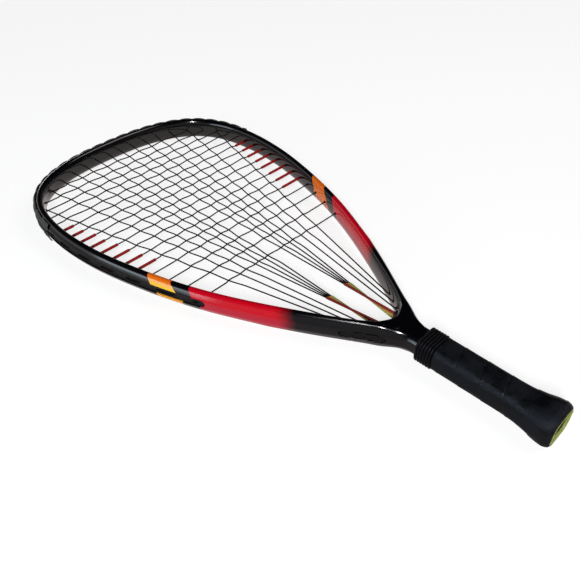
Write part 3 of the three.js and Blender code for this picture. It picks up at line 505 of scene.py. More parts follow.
def traced(line, last):
    """Whole line from the -Y throat round the tip to the +Y throat, in even steps, and its
    normals."""
    half = line(np.linspace(0, last, 8001))
    whole = np.vstack([half[:0:-1] * MIRROR, half])
    length = np.concatenate([[0], np.cumsum(np.linalg.norm(np.diff(whole, axis=0), axis=1))])
    even = np.linspace(0, length[-1], int(length[-1] / STEP) + 1)
    points = np.stack([np.interp(even, length, whole[:, i]) for i in (0, 1)], 1)
    return points, normals(points)


outer_trace, outer_turn = traced(outer_line, SHAFT_KNOT)
mouth_trace, mouth_turn = traced(opening_line, BOTTOM_KNOT)
LOOP_IN = STRIP_FACE + SEAT + STRING / 2
loop_trace = outer_trace + LOOP_IN * outer_turn


def meet(line, start, direction):
    """Where a ray first meets a line, and the number of the span there: on each span from a to b,
    start + r direction = a + q (b - a), solved for r and q by cross products."""
    a, step = line[:-1], np.diff(line, axis=0)
    cross = direction[0] * step[:, 1] - direction[1] * step[:, 0]
    gap = a - start
    r = (gap[:, 0] * step[:, 1] - gap[:, 1] * step[:, 0]) / cross
    q = (gap[:, 0] * direction[1] - gap[:, 1] * direction[0]) / cross
    r[(q < 0) | (q > 1) | (r < 0)] = np.inf
    found = int(np.argmin(r))
    return start + r[found] * direction, found


def unit(v):
    """Vectors brought to a length of one."""
    return v / np.linalg.norm(v, axis=-1, keepdims=True)


def string_hole(start, direction, z):
    """Hole through the beam for a string that runs out along a direction: its mouth and exit, and
    its place along the loops' line."""
    mouth, found = meet(mouth_trace - BARREL_STANDOUT * mouth_turn, start, direction)
    axis = unit((1 - LEAN_SHARE) * mouth_turn[found] + LEAN_SHARE * direction)
    leave, place = meet(loop_trace, mouth, axis)
    return {"mouth": np.array([*mouth, z]), "exit": np.array([*leave, z]), "place": place}


# Mains: the outer three of each side end in the throat strips, and four run on in a bundle.
mains = []
for side in (1, -1):
    one_side = []
    for i, share in enumerate(MAIN_SHARES):
        start = np.array([MAIN_START * HOOP_LENGTH, side * share * MAIN_SPREAD])
        port = np.array([BUNDLE_PORT, side * BUNDLE_ACROSS])
        bundled = i >= len(PORT_SHARES)
        if not bundled:
            middle = np.array([PORT_SHARES[i] * HOOP_LENGTH, 0])
            port = meet(mouth_trace, middle, np.array([0, side]))[0]
        run, middle = unit(port - start), (start + port) / 2
        head = string_hole(middle, -run, MAIN_UP)
        throat = None if bundled else string_hole(middle, run, MAIN_UP)
        bend = start + (BUNDLE_BEND - start[0]) / run[0] * run
        end = np.array([*bend, MAIN_UP]) if bundled else throat["mouth"]
        port = np.array([*port, side * BUNDLE_PITCH * (i - 4.5)])
        one_side.append({"head": head, "throat": throat, "end": end, "port": port})
    mains += one_side[::side]
cross_x = CROSS_SHARES * HOOP_LENGTH
crosses = [
    [string_hole(np.array([x, 0]), np.array([0, side]), CROSS_UP) for side in (1, -1)]
    for x in cross_x
]
holes = [m[end] for m in mains for end in ("head", "throat") if m[end]] + sum(crosses, [])


def tube(path, radius, sides=8):
    """Rings of a round tube: p + r (cos a * side + sin a * up), where side is level and square to
    the path, and turned over where the path doubles back upright, so that no ring twists."""
    run = unit(np.gradient(path, axis=0))
    side = unit(np.cross([1e-6, 0, 1], run))
    side[1:] *= np.cumprod(np.sign((side[1:] * side[:-1]).sum(1)))[:, None]
    up = np.cross(run, side)
    turn = 2 * np.pi * (np.arange(sides) + 0.5) / sides
    round_part = np.cos(turn)[:, None] * side[:, None] + np.sin(turn)[:, None] * up[:, None]
    return path[:, None] + radius * round_part


def pipe(start, end, outer_radius, bore_radius, lip=0.15, sides=16):
    """Closed straight pipe with a wall and rounded ends, as one looped grid."""
    axis = unit(end - start)
    length = np.linalg.norm(end - start)
    run = np.array([lip, 0.3 * lip, 0, 0, 0.3 * lip])
    radius = np.array([*(outer_radius - np.array([0, 0.3, 1]) * lip), bore_radius, bore_radius])
    run = np.concatenate([run, length - run[::-1], [lip]])
    radius = np.concatenate([radius, radius[::-1], [outer_radius]])
    side = unit(np.cross([0, 0, 1], axis))
    up = np.cross(axis, side)
    turn = 2 * np.pi * np.arange(sides) / sides
    round_part = np.cos(turn)[:, None] * side + np.sin(turn)[:, None] * up
    return start + run[:, None, None] * axis + radius[:, None, None] * round_part


def barrels(low, high, side=0):
    """Barrels of the holes whose exits lie between two lengths, on one side or both."""
    made = []
    for hole in holes:
        if low < hole["exit"][0] < high and hole["exit"][1] * side >= 0:
            start = hole["exit"] + BARREL_START * unit(hole["mouth"] - hole["exit"])
            made.append((pipe(start, hole["mouth"], BARREL / 2, BARREL_BORE / 2), True))
    return made


def carried(points, turn, outer_path, inner_path):
    """Solid carried along a line in the plane, its section closed from an outer path (depth, up)
    and an inner one of equal length, each one path or one for every station: a looped grid and
    its two ends."""
    out_grid, in_grid = (
        lift(points[:, None] + path[..., :1] * turn[:, None], path[..., 1])
        for path in (outer_path, inner_path)
    )
    loop = np.concatenate([out_grid, in_grid[:, ::-1]], 1)
    return [(loop, True)] + [(np.stack([out_grid[i], in_grid[i]]), False) for i in (0, -1)]


def both_faces(upper):
    """Paths of (depth, up) from the top down to the middle, each with its mirror image below."""
    return np.concatenate([upper, upper[..., ::-1, :] * [1, -1]], -2)


on_head = outer_trace[:, 0] < BUMPER_REACH
bumper_points, bumper_turn = outer_trace[on_head], outer_turn[on_head]
bumper_run = STEP * np.arange(len(bumper_points))
scallop = 1 - np.abs(np.sin(np.pi * bumper_run / SCALLOP_PITCH)) ** 0.6
scallop = scallop * smooth(np.minimum(bumper_run, bumper_run[::-1]), 1, 5)
cusp = SCALLOP_DEPTH * scallop[:, None, None]
# Section of a wing, outside and inside, each (depth, up) from its edge over the crest and down to
# the channel.
wing_out = [[-1.3, 10.2], [-0.9, 10.12], [-0.55, 9.75], [-0.1, 9.1], [0.35, 8.3], [0.8, 7.3]]
wing_out += [[1.15, 6], [1.33, 4.8], [1.36, 3.6], [1.22, 3.05], [0.9, 2.9]]
wing_out += [[-1.1, 2.9], [-1.42, 2.75], [-1.5, 2.4], [-1.5, 0.8]]
wing_in = [[-1.55, 10.15], [-1.8, 10], [-1.35, 9.4], [-0.85, 8.6], [-0.5, 7.9], [-0.2, 7.1]]
wing_in += [[0.05, 6.1], [0.2, 5.2], [0.28, 4.2], [0.28, 3.7], [-0.4, 3.7]]
wing_in += [[-1.9, 3.7], [-2.2, 3.6], [-2.3, 3.3], [-2.3, 0.8]]
# At a cusp between two scallops the edge is pulled down and the crest pressed in.
pull = np.outer([1, 1, 0.9, 0.7, 0.4, 0.15] + [0] * 9, [0.5, -1.5])
press = np.outer([0, 0.15, 0.4, 0.7, 0.85, 0.9, 0.9, 0.9, 0.8, 0.5, 0.2] + [0] * 4, [-1, 0])
wing_path = both_faces(wing_out + cusp * (pull + press))
bumper_grids = carried(bumper_points, bumper_turn, wing_path, both_faces(wing_in + cusp * pull))
bumper = mesh_piece("bumper", bumper_grids + barrels(-20, BUMPER_REACH), 50)

# Moulded plastic: a mottled colour, a fine moulded grain, pale rubs on the edges and scuffs.
inputs = POINT | {"Colour": (0.1, 0.1, 0.1, 1), "Worn Colour": (0.3, 0.3, 0.3, 1)}
inputs |= {"Mottle": 0.2, "Wear": 0.5, "Roughness": 0.5}
outputs = ["Colour", "Roughness", "Height"]
plastic_group, given, leave = node_group("Moulded Plastic", inputs, outputs)
tree = plastic_group
cloudy = value_range(tree, noise(tree, given["Point"], 90, 4), 0.3, 0.7, 0, 1)
grain = noise(tree, given["Point"], 2200, 2)
handled = use(tree, handling_group, {"Point": given["Point"], "Smudges": 0.2, "Scuffs": 0.15})
worn = use(tree, wear_group, {"Point": given["Point"]})["Mask"]
lightness = maths(tree, "MULTIPLY_ADD", cloudy, given["Mottle"], 0.9)
mottled = {"Color": given["Colour"], "Value": lightness}
shade = node(tree, "HueSaturation", (), mottled).outputs[0]
rubbed = maths(tree, "MULTIPLY", worn, given["Wear"])
rougher = maths(tree, "ADD", given["Roughness"], handled["Roughness Change"])
tree.links.new(mix(tree, rubbed, shade, given["Worn Colour"]), leave["Colour"])
tree.links.new(rougher, leave["Roughness"])
tree.links.new(maths(tree, "MULTIPLY_ADD", handled["Height"], 0.5, grain), leave["Height"])


def plastic(name, colour, worn_colour, roughness, mottle=0.3, wear=0.5, relief=0.15, specular=0.3):
    """Material of moulded plastic, with its worn edges' colour and the relief of its grain."""
    made, tree, principled, point = new_material(name)
    inputs = {"Point": point, "Colour": (*colour, 1), "Worn Colour": (*worn_colour, 1)}
    inputs |= {"Mottle": mottle, "Wear": wear, "Roughness": roughness}
    look = use(tree, plastic_group, inputs)
    put(
        tree,
        principled,
        Base_Color=look["Colour"],
        Roughness=look["Roughness"],
        Specular_IOR_Level=specular,
        Normal=bump(tree, relief, 0.0002, look["Height"]),
    )
    return made


guard_nylon = plastic("guard_nylon", (0.048, 0.055, 0.047), (0.18, 0.2, 0.18), 0.55)
settle(bumper, "guard_nylon", guard_nylon, "bumper_guard")

# --------------------------------------------
# Grommet strips: moulded nylon strips in the groove of each side and in the throat's two slots,
# each a floor with raised edges and a barrel through the beam for every string.
STRIP_ROUNDING, STRIP_END_RADIUS = 2.6, 3.4
strip_out = [[-1.7, -1.1, -0.95, -0.95, -1.1, -1.45, -1.5], [3.7, 3.68, 3.55, 3.2, 3.05, 2.95, 2.6]]
strip_in = [[-1.9, -2, -2.1, -2.2, -2.27, -2.3, -2.3], [3.7, 3.69, 3.66, 3.6, 3.5, 3.3, 2.6]]
strip_out, strip_in = both_faces(np.transpose(strip_out)), both_faces(np.transpose(strip_in))
grommet_nylon = plastic("grommet_nylon", (0.003, 0.003, 0.004), (0.03, 0.03, 0.033), 0.45)
for kind, (low, high) in [("grommet", (BUMPER_REACH, GROOVES[0][1])), ("throat", GROOVES[1])]:
    for place_name, side in [("near", -1), ("far", 1)]:
        x, y = outer_trace.T
        own = (x > low + SEAT) & (x < high - SEAT) & (y * side > 0)
        points, turn = outer_trace[own], outer_turn[own]
        # Each end is rounded, apart from the one that meets the guard.
        from_low, from_high = points[:, 0] - low, high - points[:, 0]
        inset = np.clip(STRIP_ROUNDING - np.minimum(from_low, from_high), 0, STRIP_ROUNDING)
        by_guard = (from_low < 3) & (low == BUMPER_REACH)
        narrow = np.where(by_guard, 1, np.sqrt(1 - (inset / STRIP_END_RADIUS) ** 2))
        across = np.stack([np.ones_like(narrow), narrow], 1)[:, None]
        strip = carried(points, turn, strip_out * across, strip_in * across)
        name = f"{kind}_strip_{place_name}"
        piece = mesh_piece(name + "_fine", strip + barrels(low, high, side), 50)
        settle(piece, "grommet_nylon", grommet_nylon, name)

# --------------------------------------------
# Throat grommet: the moulded liner of the slot in the bottom of the hoop, with one passage for
# each bundle of four mains, its edges rounded.
PASSAGE_ACROSS, PASSAGE_UP, PASSAGE_ROUNDING = (6.83, 10.97), 5.42, 1.2
LINER_FRONT, LINER_LENGTH, LINER_WALL = 402.5, 9, 0.8
BRIDGE_HALF = 6.2


def slot_ring(low, high, half_up, rounding, steps=6):
    """Rounded rectangle across the racket as (across, up): four sides joined by quarter circles."""
    turn = np.radians(np.linspace(0, 90, steps))
    arc = np.stack([np.cos(turn), np.sin(turn)], 1) * rounding
    reach = np.array([(high - low) / 2 - rounding, half_up - rounding])
    first, second = arc + reach, (arc[::-1] + reach) * [-1, 1]
    return np.vstack([first, second, -first, -second]) + [(low + high) / 2, 0]


def cross_rings(stations):
    """Looped grid of rings across the racket, each (x, ring)."""
    return np.stack([np.column_stack([np.full(len(ring), x), ring]) for x, ring in stations])


def capped(rings):
    """Rings of a grid with each end drawn in to its middle."""
    ends = [np.broadcast_to(rings[i].mean(0), rings[:1].shape) for i in (0, -1)]
    return np.concatenate([ends[0], rings, ends[1]])


# Two passages, whose wall rolls in at the front, and the bridge between them.
liner = []
for side in (1, -1):
    low, high = sorted(side * np.array(PASSAGE_ACROSS))
    stations = []
    for run, wall in [(0.5, 1), (0.15, 0.875), (0, 0.5), (0, 0.0125), (0.3, 0), (LINER_LENGTH, 0)]:
        grown = wall * LINER_WALL
        ring = slot_ring(low - grown, high + grown, PASSAGE_UP + grown, PASSAGE_ROUNDING)
        stations.append((LINER_FRONT + run, ring))
    stations += [(LINER_FRONT + LINER_LENGTH, stations[0][1]), stations[0]]
    liner.append((cross_rings(stations), True))
bridge = [(408.3, 5), (408.7, 5.4), (LINER_FRONT + LINER_LENGTH, 5.4)]
bridge = [(x, slot_ring(-BRIDGE_HALF, BRIDGE_HALF, half_up, 1)) for x, half_up in bridge]
liner.append((capped(cross_rings(bridge)), True))
throat_liner = mesh_piece("throat_liner", liner, 40)
settle(throat_liner, "grommet_nylon", grommet_nylon, "throat_grommet")

# --------------------------------------------
# Strings: one main string and one cross string, each unbroken from tail to tail, woven over and
# under each other in the bed and looping along the groove from hole to hole.
LOOP_SPLIT, LOOP_STEP, TAIL = 3.4, 8, 6
WEAVE = 0.6
TRACE_STEP = np.linalg.norm(outer_trace[1] - outer_trace[0])
ANCHOR_END = 544.3
BEHIND_ANCHOR = ANCHOR_END + SEAT + STRING / 2


def rounded(path, passes=2):
    """Corners cut by Chaikin's rule: a span gives its points at a quarter and three quarters."""
    for _ in range(passes):
        a, b = path[:-1], path[1:]
        cut = np.stack([0.75 * a + 0.25 * b, 0.25 * a + 0.75 * b], 1).reshape(-1, 3)
        path = np.vstack([path[:1], cut, path[-1:]])
    return path


def eased(at, knots, heights):
    """Height eased from knot to knot: h0 + (h1 - h0) (1 - cos(pi t)) / 2."""
    span = np.clip(np.searchsorted(knots, at, "right") - 1, 0, len(knots) - 2)
    t = (at - knots[span]) / (knots[span + 1] - knots[span])
    return heights[span] + (heights[span + 1] - heights[span]) * (1 - np.cos(np.pi * t)) / 2


def on_loop(place, z):
    """Point on the loops' line at a place and a height."""
    return np.array([*loop_trace[int(place)], z])


def loop_between(start, end, z):
    """Loop in the groove from one hole's place to the next one's."""
    lead = np.sign(end - start) * LOOP_SPLIT / TRACE_STEP
    steps = max(1, round((abs(end - start) * TRACE_STEP - 2 * LOOP_SPLIT) / LOOP_STEP))
    return [on_loop(p, z) for p in np.linspace(start + lead, end - lead, steps + 1)]


def tail_at(hole, sign, z):
    """Short end of a string, laid in the groove beside its last hole."""
    return [on_loop(hole["place"] + sign * d / TRACE_STEP, z) for d in (TAIL, LOOP_SPLIT)]


main_line = np.array([[m["head"]["mouth"], m["end"]] for m in mains])
main_run = main_line[:, 1] - main_line[:, 0]
meeting_share = (cross_x[None] - main_line[:, :1, 0]) / main_run[:, :1]
meeting_y = main_line[:, :1, 1] + meeting_share * main_run[:, 1:2]
over = np.where(np.add.outer(range(len(mains)), range(len(crosses))) % 2, -WEAVE, WEAVE)
meets = meeting_share > 0.005


def bed_path(start, end, shares, heights, step=3.0):
    """Woven run between two mouths: straight in the plane, its height eased between crossings."""
    length = np.linalg.norm(end - start)
    at = np.linspace(0, 1, int(length / step) + 1)
    path = start + at[:, None] * (end - start)
    path[:, 2] = eased(at, np.array(shares), np.array(heights))
    return path


main_beds = []
for m in range(len(mains)):
    crossed = meets[m]
    shares = [0, *meeting_share[m][crossed], min(meeting_share[m][-1] + 0.06, 0.99), 1]
    heights = [MAIN_UP, *over[m][crossed], MAIN_UP, MAIN_UP]
    main_beds.append(bed_path(main_line[m, 0], main_line[m, 1], shares, heights))

cross_beds = []
for c, (far, near) in enumerate(crosses):
    crossed = meets[:, c]
    width = far["mouth"][1] - near["mouth"][1]
    shares = (far["mouth"][1] - meeting_y[crossed, c]) / width
    sleeve = 2.4 / width
    knots = [0, max(shares[0] - sleeve, 1e-3), *shares, min(shares[-1] + sleeve, 1 - 1e-3), 1]
    heights = [CROSS_UP, CROSS_UP, *-over[crossed, c], CROSS_UP, CROSS_UP]
    cross_beds.append(bed_path(far["mouth"], near["mouth"], knots, heights, 2.5))

MAIN_LOOP, CROSS_LOOP = LOOP_SPLIT / 2, -LOOP_SPLIT / 2
path = tail_at(mains[0]["throat"], 1, MAIN_LOOP)
for m, (main, following) in enumerate(zip(mains, [*mains[1:], None])):
    to_throat = [main["throat"]["exit"] if main["throat"] else main["port"]]
    if m % 2 == 0:
        path += [*to_throat, *main_beds[m][::-1], main["head"]["exit"]]
        path += loop_between(main["head"]["place"], following["head"]["place"], MAIN_LOOP)
    else:
        path += [main["head"]["exit"], *main_beds[m], *to_throat]
        if following and main["throat"]:
            path += loop_between(main["throat"]["place"], following["throat"]["place"], MAIN_LOOP)
        elif following:
            ports = np.array([main["port"], following["port"]])
            turn = np.linspace(0, np.pi, 9)[:, None]
            bend = ports.mean(0) + (ports[0] - ports[1]) / 2 * np.cos(turn)
            bend[:, :1] = BEHIND_ANCHOR + BUNDLE_PITCH / 2 * np.sin(turn)
            path += [*bend]
path += tail_at(mains[-1]["throat"], -1, MAIN_LOOP)[::-1]
main_path = rounded(np.array(path))

path = tail_at(crosses[0][0], -1, CROSS_LOOP)
for c, pair in enumerate(crosses):
    a, b = pair if c % 2 == 0 else pair[::-1]
    path += [a["exit"], *cross_beds[c][:: 1 - 2 * (c % 2)], b["exit"]]
    if c + 1 < len(crosses):
        path += loop_between(b["place"], crosses[c + 1][1 - c % 2]["place"], CROSS_LOOP)
path += tail_at(crosses[-1][1], 1, CROSS_LOOP)[::-1]
cross_path = rounded(np.array(path))


def string_material(name, colour, sheen):
    """Nylon string: dark, its fibres wound round the core, and paler where it is rubbed."""
    made, tree, principled, point = new_material(name)
    winding = {"Vector": point, "Scale": 4200, "Detail": 2, "Distortion": 0.6}
    fibres = node(tree, "TexNoise", (), winding).outputs[0]
    dust = noise(tree, point, 55, 5)
    rub = value_range(tree, dust, 0.5, 0.75, 0, 0.7)
    put(
        tree,
        principled,
        Base_Color=mix(tree, rub, (*colour, 1), (*sheen, 1)),
        Roughness=value_range(tree, dust, 0.3, 0.7, 0.32, 0.55),
        Specular_IOR_Level=0.15,
        Normal=bump(tree, 0.25, 0.0001, fibres),
    )
    return made


for kind, path, colour, sheen in [
    ("main", main_path, (0.006, 0.0035, 0.003), (0.028, 0.014, 0.011)),
    ("cross", cross_path, (0.007, 0.004, 0.0035), (0.03, 0.016, 0.013)),
]:
    name = kind + "_string"
    piece = mesh_piece(name + "_woven", [(capped(tube(path, STRING / 2)), True)], 80)
    settle(piece, name, string_material(kind + "_nylon", colour, sheen), name)

# --------------------------------------------
# Side sleeves: soft red tubes on the ends of eight crosses on each side. Each reaches inwards from
# its barrel, and stops short of the outermost main.
SLEEVE_RADIUS, SLEEVE_BORE, SLEEVE_SEAT = 1.425, 0.975, 0.8
FIRST_SLEEVED, SLEEVE_LENGTHS = 5, [12.5, 15, 19.5, 19.5, 22.5, 22.5, 23.5, 24.5]


def sleeve_material(name, colour, pale):
    """Soft tube: an even colour, bleached a little in places, with a waxy surface."""
    made, tree, principled, point = new_material(name)
    cloud = noise(tree, point, 130, 3)
    share = value_range(tree, cloud, 0.35, 0.7, 0, 0.5)
    put(
        tree,
        principled,
        Base_Color=mix(tree, share, (*colour, 1), (*pale, 1)),
        Roughness=value_range(tree, cloud, 0.3, 0.7, 0.4, 0.55),
        Specular_IOR_Level=0.2,
        Normal=bump(tree, 0.1, 0.0001, noise(tree, point, 3000, 2)),
    )
    return made


red_sleeve = sleeve_material("red_sleeve", (0.38, 0.006, 0.007), (0.42, 0.015, 0.015))
for place_name, side, index in [("far", 1, 0), ("near", -1, -1)]:
    for i, length in enumerate(SLEEVE_LENGTHS):
        c = FIRST_SLEEVED + i
        mouth = crosses[c][index]["mouth"]
        outer_end = abs(mouth[1]) - SLEEVE_SEAT
        edge_main = abs(meeting_y[index, c]) + SLEEVE_RADIUS + STRING / 2 + SEAT
        inner_end = max(outer_end - length, edge_main)
        ends = [np.array([mouth[0], side * y, CROSS_UP]) for y in (outer_end, inner_end)]
        name = f"side_sleeve_{place_name}_{i + 1}"
        sleeve = pipe(*ends, SLEEVE_RADIUS, SLEEVE_BORE, 0.12)
        settle(mesh_piece(name + "_soft", [(sleeve, True)], 50), "red_sleeve", red_sleeve, name)

# --------------------------------------------
# Throat sleeves: soft tubes on the bundled mains, of one colour for each height in the bundle,
# from green at the bottom to brown at the top. They end in the throat slot.
BUNDLE_LENGTH, BUNDLE_RADIUS, BUNDLE_BORE = 62.5, 1.075, 0.875
throat_looks = [
    ("throat_sleeve_green", (0.2, 0.42, 0.07), (0.3, 0.5, 0.14)),
    ("throat_sleeve_yellow", (0.7, 0.47, 0.1), (0.75, 0.55, 0.2)),
    ("throat_sleeve_orange", (0.5, 0.16, 0.03), (0.55, 0.22, 0.07)),
    ("throat_sleeve_brown", (0.22, 0.02, 0.014), (0.28, 0.04, 0.03)),
]
throat_materials = [sleeve_material(*look) for look in throat_looks]
for place_name, first in [("far", 3), ("near", 7)]:
    for i in range(4):
        main = mains[first + i]
        run = unit(main["port"] - main["end"])
        ends = [main["port"] - BUNDLE_LENGTH * run, main["port"]]
        name = f"throat_sleeve_{place_name}_{i + 1}"
        sleeve = pipe(*ends, BUNDLE_RADIUS, BUNDLE_BORE, 0.08)
        piece = mesh_piece(name + "_soft", [(sleeve, True)], 50)
        settle(piece, throat_looks[i][0], throat_materials[i], name)

# --------------------------------------------
# String anchor: the block on the shaft's end that the bundled mains turn behind. The CAD node
# has its shape already and keeps it.
anchor_nylon = plastic("anchor_nylon", (0.04, 0.04, 0.045), (0.15, 0.15, 0.16), 0.6)
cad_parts["string_anchor"].data.materials.clear()
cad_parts["string_anchor"].data.materials.append(anchor_nylon)

# --------------------------------------------
# Collar: a moulded rubber ring with six ribs, stretched over the front edge of the grip. Its
# inside steps down from the grip to the shaft.
COLLAR_START, COLLAR_END, RIBS = 438.5, 454, 6
GRIP_START, GRIP_WIDTH, GRIP_HEIGHT = 443, 26.6, 23.2
SHAFT_WIDTH = 22.4


def shaft_rings(x, width, height, swell=0):
    """Looped grid of rings square to the shaft, of 64 points: flat sides joined by quarter
    ellipses. Swell moves each point out along its ring's normal, one value or one for each."""
    x, width, height = np.broadcast_arrays(*map(np.atleast_1d, (x, width, height)))
    half_w, half_h = width[:, None] / 2, height[:, None] / 2
    rounding = EDGE_ROUNDING + half_w - SHAFT_WIDTH / 2
    drop = SHAFT_HEIGHT * EDGE_DROP_SHARE + half_h - SHAFT_HEIGHT / 2
    turn = np.radians(np.linspace(0, 90, 9))
    flat_share = np.array([0, 0.5])
    side_y = np.repeat(half_w, 2, 1)
    side_z = (half_h - drop) * flat_share
    arc_y = half_w - rounding * (1 - np.cos(turn))
    arc_z = half_h - drop * (1 - np.sin(turn))
    top_y = (half_w - rounding) * (0.67, 0.33, 0)
    top_z = np.repeat(half_h, 3, 1)
    y, z = np.hstack([side_y, arc_y, top_y]), np.hstack([side_z, arc_z, top_z])
    y = np.hstack([y, -y[:, -2::-1], -y[:, 1:], y[:, -2:0:-1]])
    z = np.hstack([z, z[:, -2::-1], -z[:, 1:], -z[:, -2:0:-1]])
    along_y, along_z = (np.roll(v, -1, 1) - np.roll(v, 1, 1) for v in (y, z))
    size = np.hypot(along_y, along_z)
    y, z = y + swell * along_z / size, z - swell * along_y / size
    return np.stack([np.broadcast_to(x[:, None], y.shape), y, z], -1)


# Ribs, then the way back along the inside, each (x, outwards from the grip's own section).
rib_run = np.linspace(0, 1, 97)
rib = np.abs(np.sin(np.pi * RIBS * rib_run)) ** 0.7
from_end = (1 - np.minimum(rib_run, 1 - rib_run) / 0.02).clip(0)
rib_out = 0.8 - 0.95 * (1 - rib) - 0.5 * (1 - np.sqrt(1 - from_end**2))
rib_x = COLLAR_START + (COLLAR_END - COLLAR_START) * rib_run
step_x = GRIP_START - SEAT
lining = [(COLLAR_END, -0.5), (step_x, -0.5), (step_x, -1.8), (COLLAR_START, -1.8)]
lining += [(COLLAR_START, -0.6), (COLLAR_START, rib_out[0])]
collar_x, grow = np.vstack([np.column_stack([rib_x, rib_out]), lining]).T
collar_grid = shaft_rings(collar_x, GRIP_WIDTH + 2 * grow, GRIP_HEIGHT + 2 * grow)
collar = mesh_piece("collar_ribbed", [(collar_grid, True)], 60)
rubber, worn_rubber = (0.001, 0.001, 0.0025), (0.01, 0.011, 0.016)
collar_rubber = plastic(
    "collar_rubber", rubber, worn_rubber, 0.36, wear=0.2, relief=0.1, specular=0.15
)
settle(collar, "collar_rubber", collar_rubber, "collar")

# --------------------------------------------
# Grip: a synthetic tape wound in a spiral over the shaft, each turn lapping the last, drawn in
# under the collar and flared over the butt cap, where its cut edge is rolled.
TAPE_PITCH, LAP, SEAM_AT, SEAM_ANGLE = 20.6, 0.42, 474, 2.2
FLARE_START, FLARE_END, GRIP_END = 516.8, 552.5, 558.3
ROLL_LENGTH, ROLL_IN = 7.2, 3.2
BUTT_WIDTH, BUTT_HEIGHT = 36, 32
FLARE = np.array([[0, 0], [0.3, 0.1], [0.6, 0.45], [0.85, 0.88], [1, 1]])

under_collar, wound_part = np.linspace(444, COLLAR_END, 6), np.linspace(454.3, GRIP_END, 330)
grip_x = np.concatenate([[GRIP_START, GRIP_START + 0.4], under_collar, wound_part])
even = np.linspace(0, 1, 101)
flare_at = np.interp(even, FLARE[:, 0], np.arange(len(FLARE)))
flare = spline(FLARE, FLARE[0] - FLARE[1], 2 * FLARE[-1] - FLARE[-2], flare_at)[:, 1]
growth = np.interp((grip_x - FLARE_START) / (FLARE_END - FLARE_START), even, flare)
# Swell of the tape: a step up at each lap that settles over its turn, none under the collar, and
# the rolled end.
plain = shaft_rings(grip_x, GRIP_WIDTH, GRIP_HEIGHT)
angle = np.arctan2(plain[..., 2], plain[..., 1])
phase = ((grip_x[:, None] - SEAM_AT) / TAPE_PITCH - (angle - SEAM_ANGLE) / (2 * np.pi)) % 1
step_up = smooth(phase, 0, 0.035) * (1 - smooth(phase, 0.93, 1.0))
swell = LAP * (step_up * (0.35 + 0.65 * np.exp(-phase / 0.25)) - 0.75)
wound = smooth(grip_x, COLLAR_END, COLLAR_END + 1)[:, None]
roll = ((grip_x - GRIP_END) / ROLL_LENGTH + 1).clip(0, 1)
rolled = -ROLL_IN * (1 - np.sqrt(1 - roll**2))
swell = wound * swell - 0.8 * (1 - wound) + rolled[:, None]
width = GRIP_WIDTH + growth * (BUTT_WIDTH - GRIP_WIDTH)
height = GRIP_HEIGHT + growth * (BUTT_HEIGHT - GRIP_HEIGHT)
grip_grid = shaft_rings(grip_x, width, height, swell)
# The grip's inside, from the end forwards, each (x, width, height).
bore = [(GRIP_END, 28, 24), (557.9, 29.4, 25.4), (557.1, 30.6, 26.6), (555.9, 31.5, 27.5)]
bore += [(553, 31.8, 27.8), (549.6, 31.8, 27.8), (536.8, 25, 21.6), (528.5, 25, 21.6)]
bore += [(528.5, 23, 19.6), (GRIP_START, 23, 19.6)]
bore_grid = shaft_rings(*np.array(bore).T)
grip_grid = np.concatenate([grip_grid, bore_grid, grip_grid[:1]])
grip = mesh_piece("grip_wound", [(grip_grid, True)], 50)

grip_wrap, tree, principled, point = new_material("grip_wrap")
pores = node(tree, "TexVoronoi", (), {"Vector": point, "Scale": 1100}).outputs["Distance"]
cloud = noise(tree, point, 60, 5)
drawn = node(tree, "Mapping", (), {"Vector": point, "Scale": (60, 260, 260)}).outputs[0]
crease = noise(tree, drawn, 1, 4)
worn = use(tree, wear_group, {"Point": point, "From": 0.505, "To": 0.56})["Mask"]
charcoal, slate = (0.0008, 0.0008, 0.0014, 1), (0.0022, 0.0024, 0.0045, 1)
shade = mix(tree, value_range(tree, cloud, 0.35, 0.68, 0, 1), charcoal, slate)
height = maths(tree, "MULTIPLY_ADD", pores, 0.5, maths(tree, "MULTIPLY", crease, 1.2))
put(
    tree,
    principled,
    Base_Color=mix(tree, maths(tree, "MULTIPLY", worn, 0.35), shade, (0.02, 0.022, 0.034, 1)),
    Roughness=value_range(tree, cloud, 0.4, 0.6, 0.36, 0.62),
    Specular_IOR_Level=0.33,
    Specular_Tint=(0.75, 0.85, 1, 1),
    Normal=bump(tree, 0.5, 0.0007, height),
)
settle(grip, "grip_wrap", grip_wrap, "grip")

# --------------------------------------------
# Butt cap: a moulded lime cap pushed over the shaft's end. Its skirt is under the grip, and its
# rounded rim stands round the recess that the plug sits in. Its rings are (x, width, height).
cap_rings = [(528.8, 24.4, 21), (536.8, 24.4, 21), (549.6, 31.2, 27.2), (553, 31.2, 27.2)]
cap_rings += [(555.9, 30.8, 26.8), (557, 29.9, 25.9), (557.7, 28.7, 24.7), (558.2, 27.3, 23.3)]
cap_rings += [(558.4, 27.3, 23.3), (558.4, 28.8, 24.8), (558.45, 29, 25), (558.6, 29, 25)]
cap_rings += [(558.75, 28.7, 24.7), (558.8, 28.2, 24.2), (558.8, 27, 23), (558.7, 26.5, 22.5)]
cap_rings += [(558.4, 26.1, 22.1), (557.8, 25.9, 21.9), (552, 25.8, 21.8)]
cap_outside = shaft_rings(*np.array(cap_rings).T)


def inlet_ring(x, radius):
    """Round ring of the cord's inlet, its points at the same angles as the cap's first ring."""
    turn = np.arctan2(cap_outside[0, :, 2], cap_outside[0, :, 1])
    return np.stack([np.full_like(turn, x), radius * np.cos(turn), radius * np.sin(turn)], -1)[None]


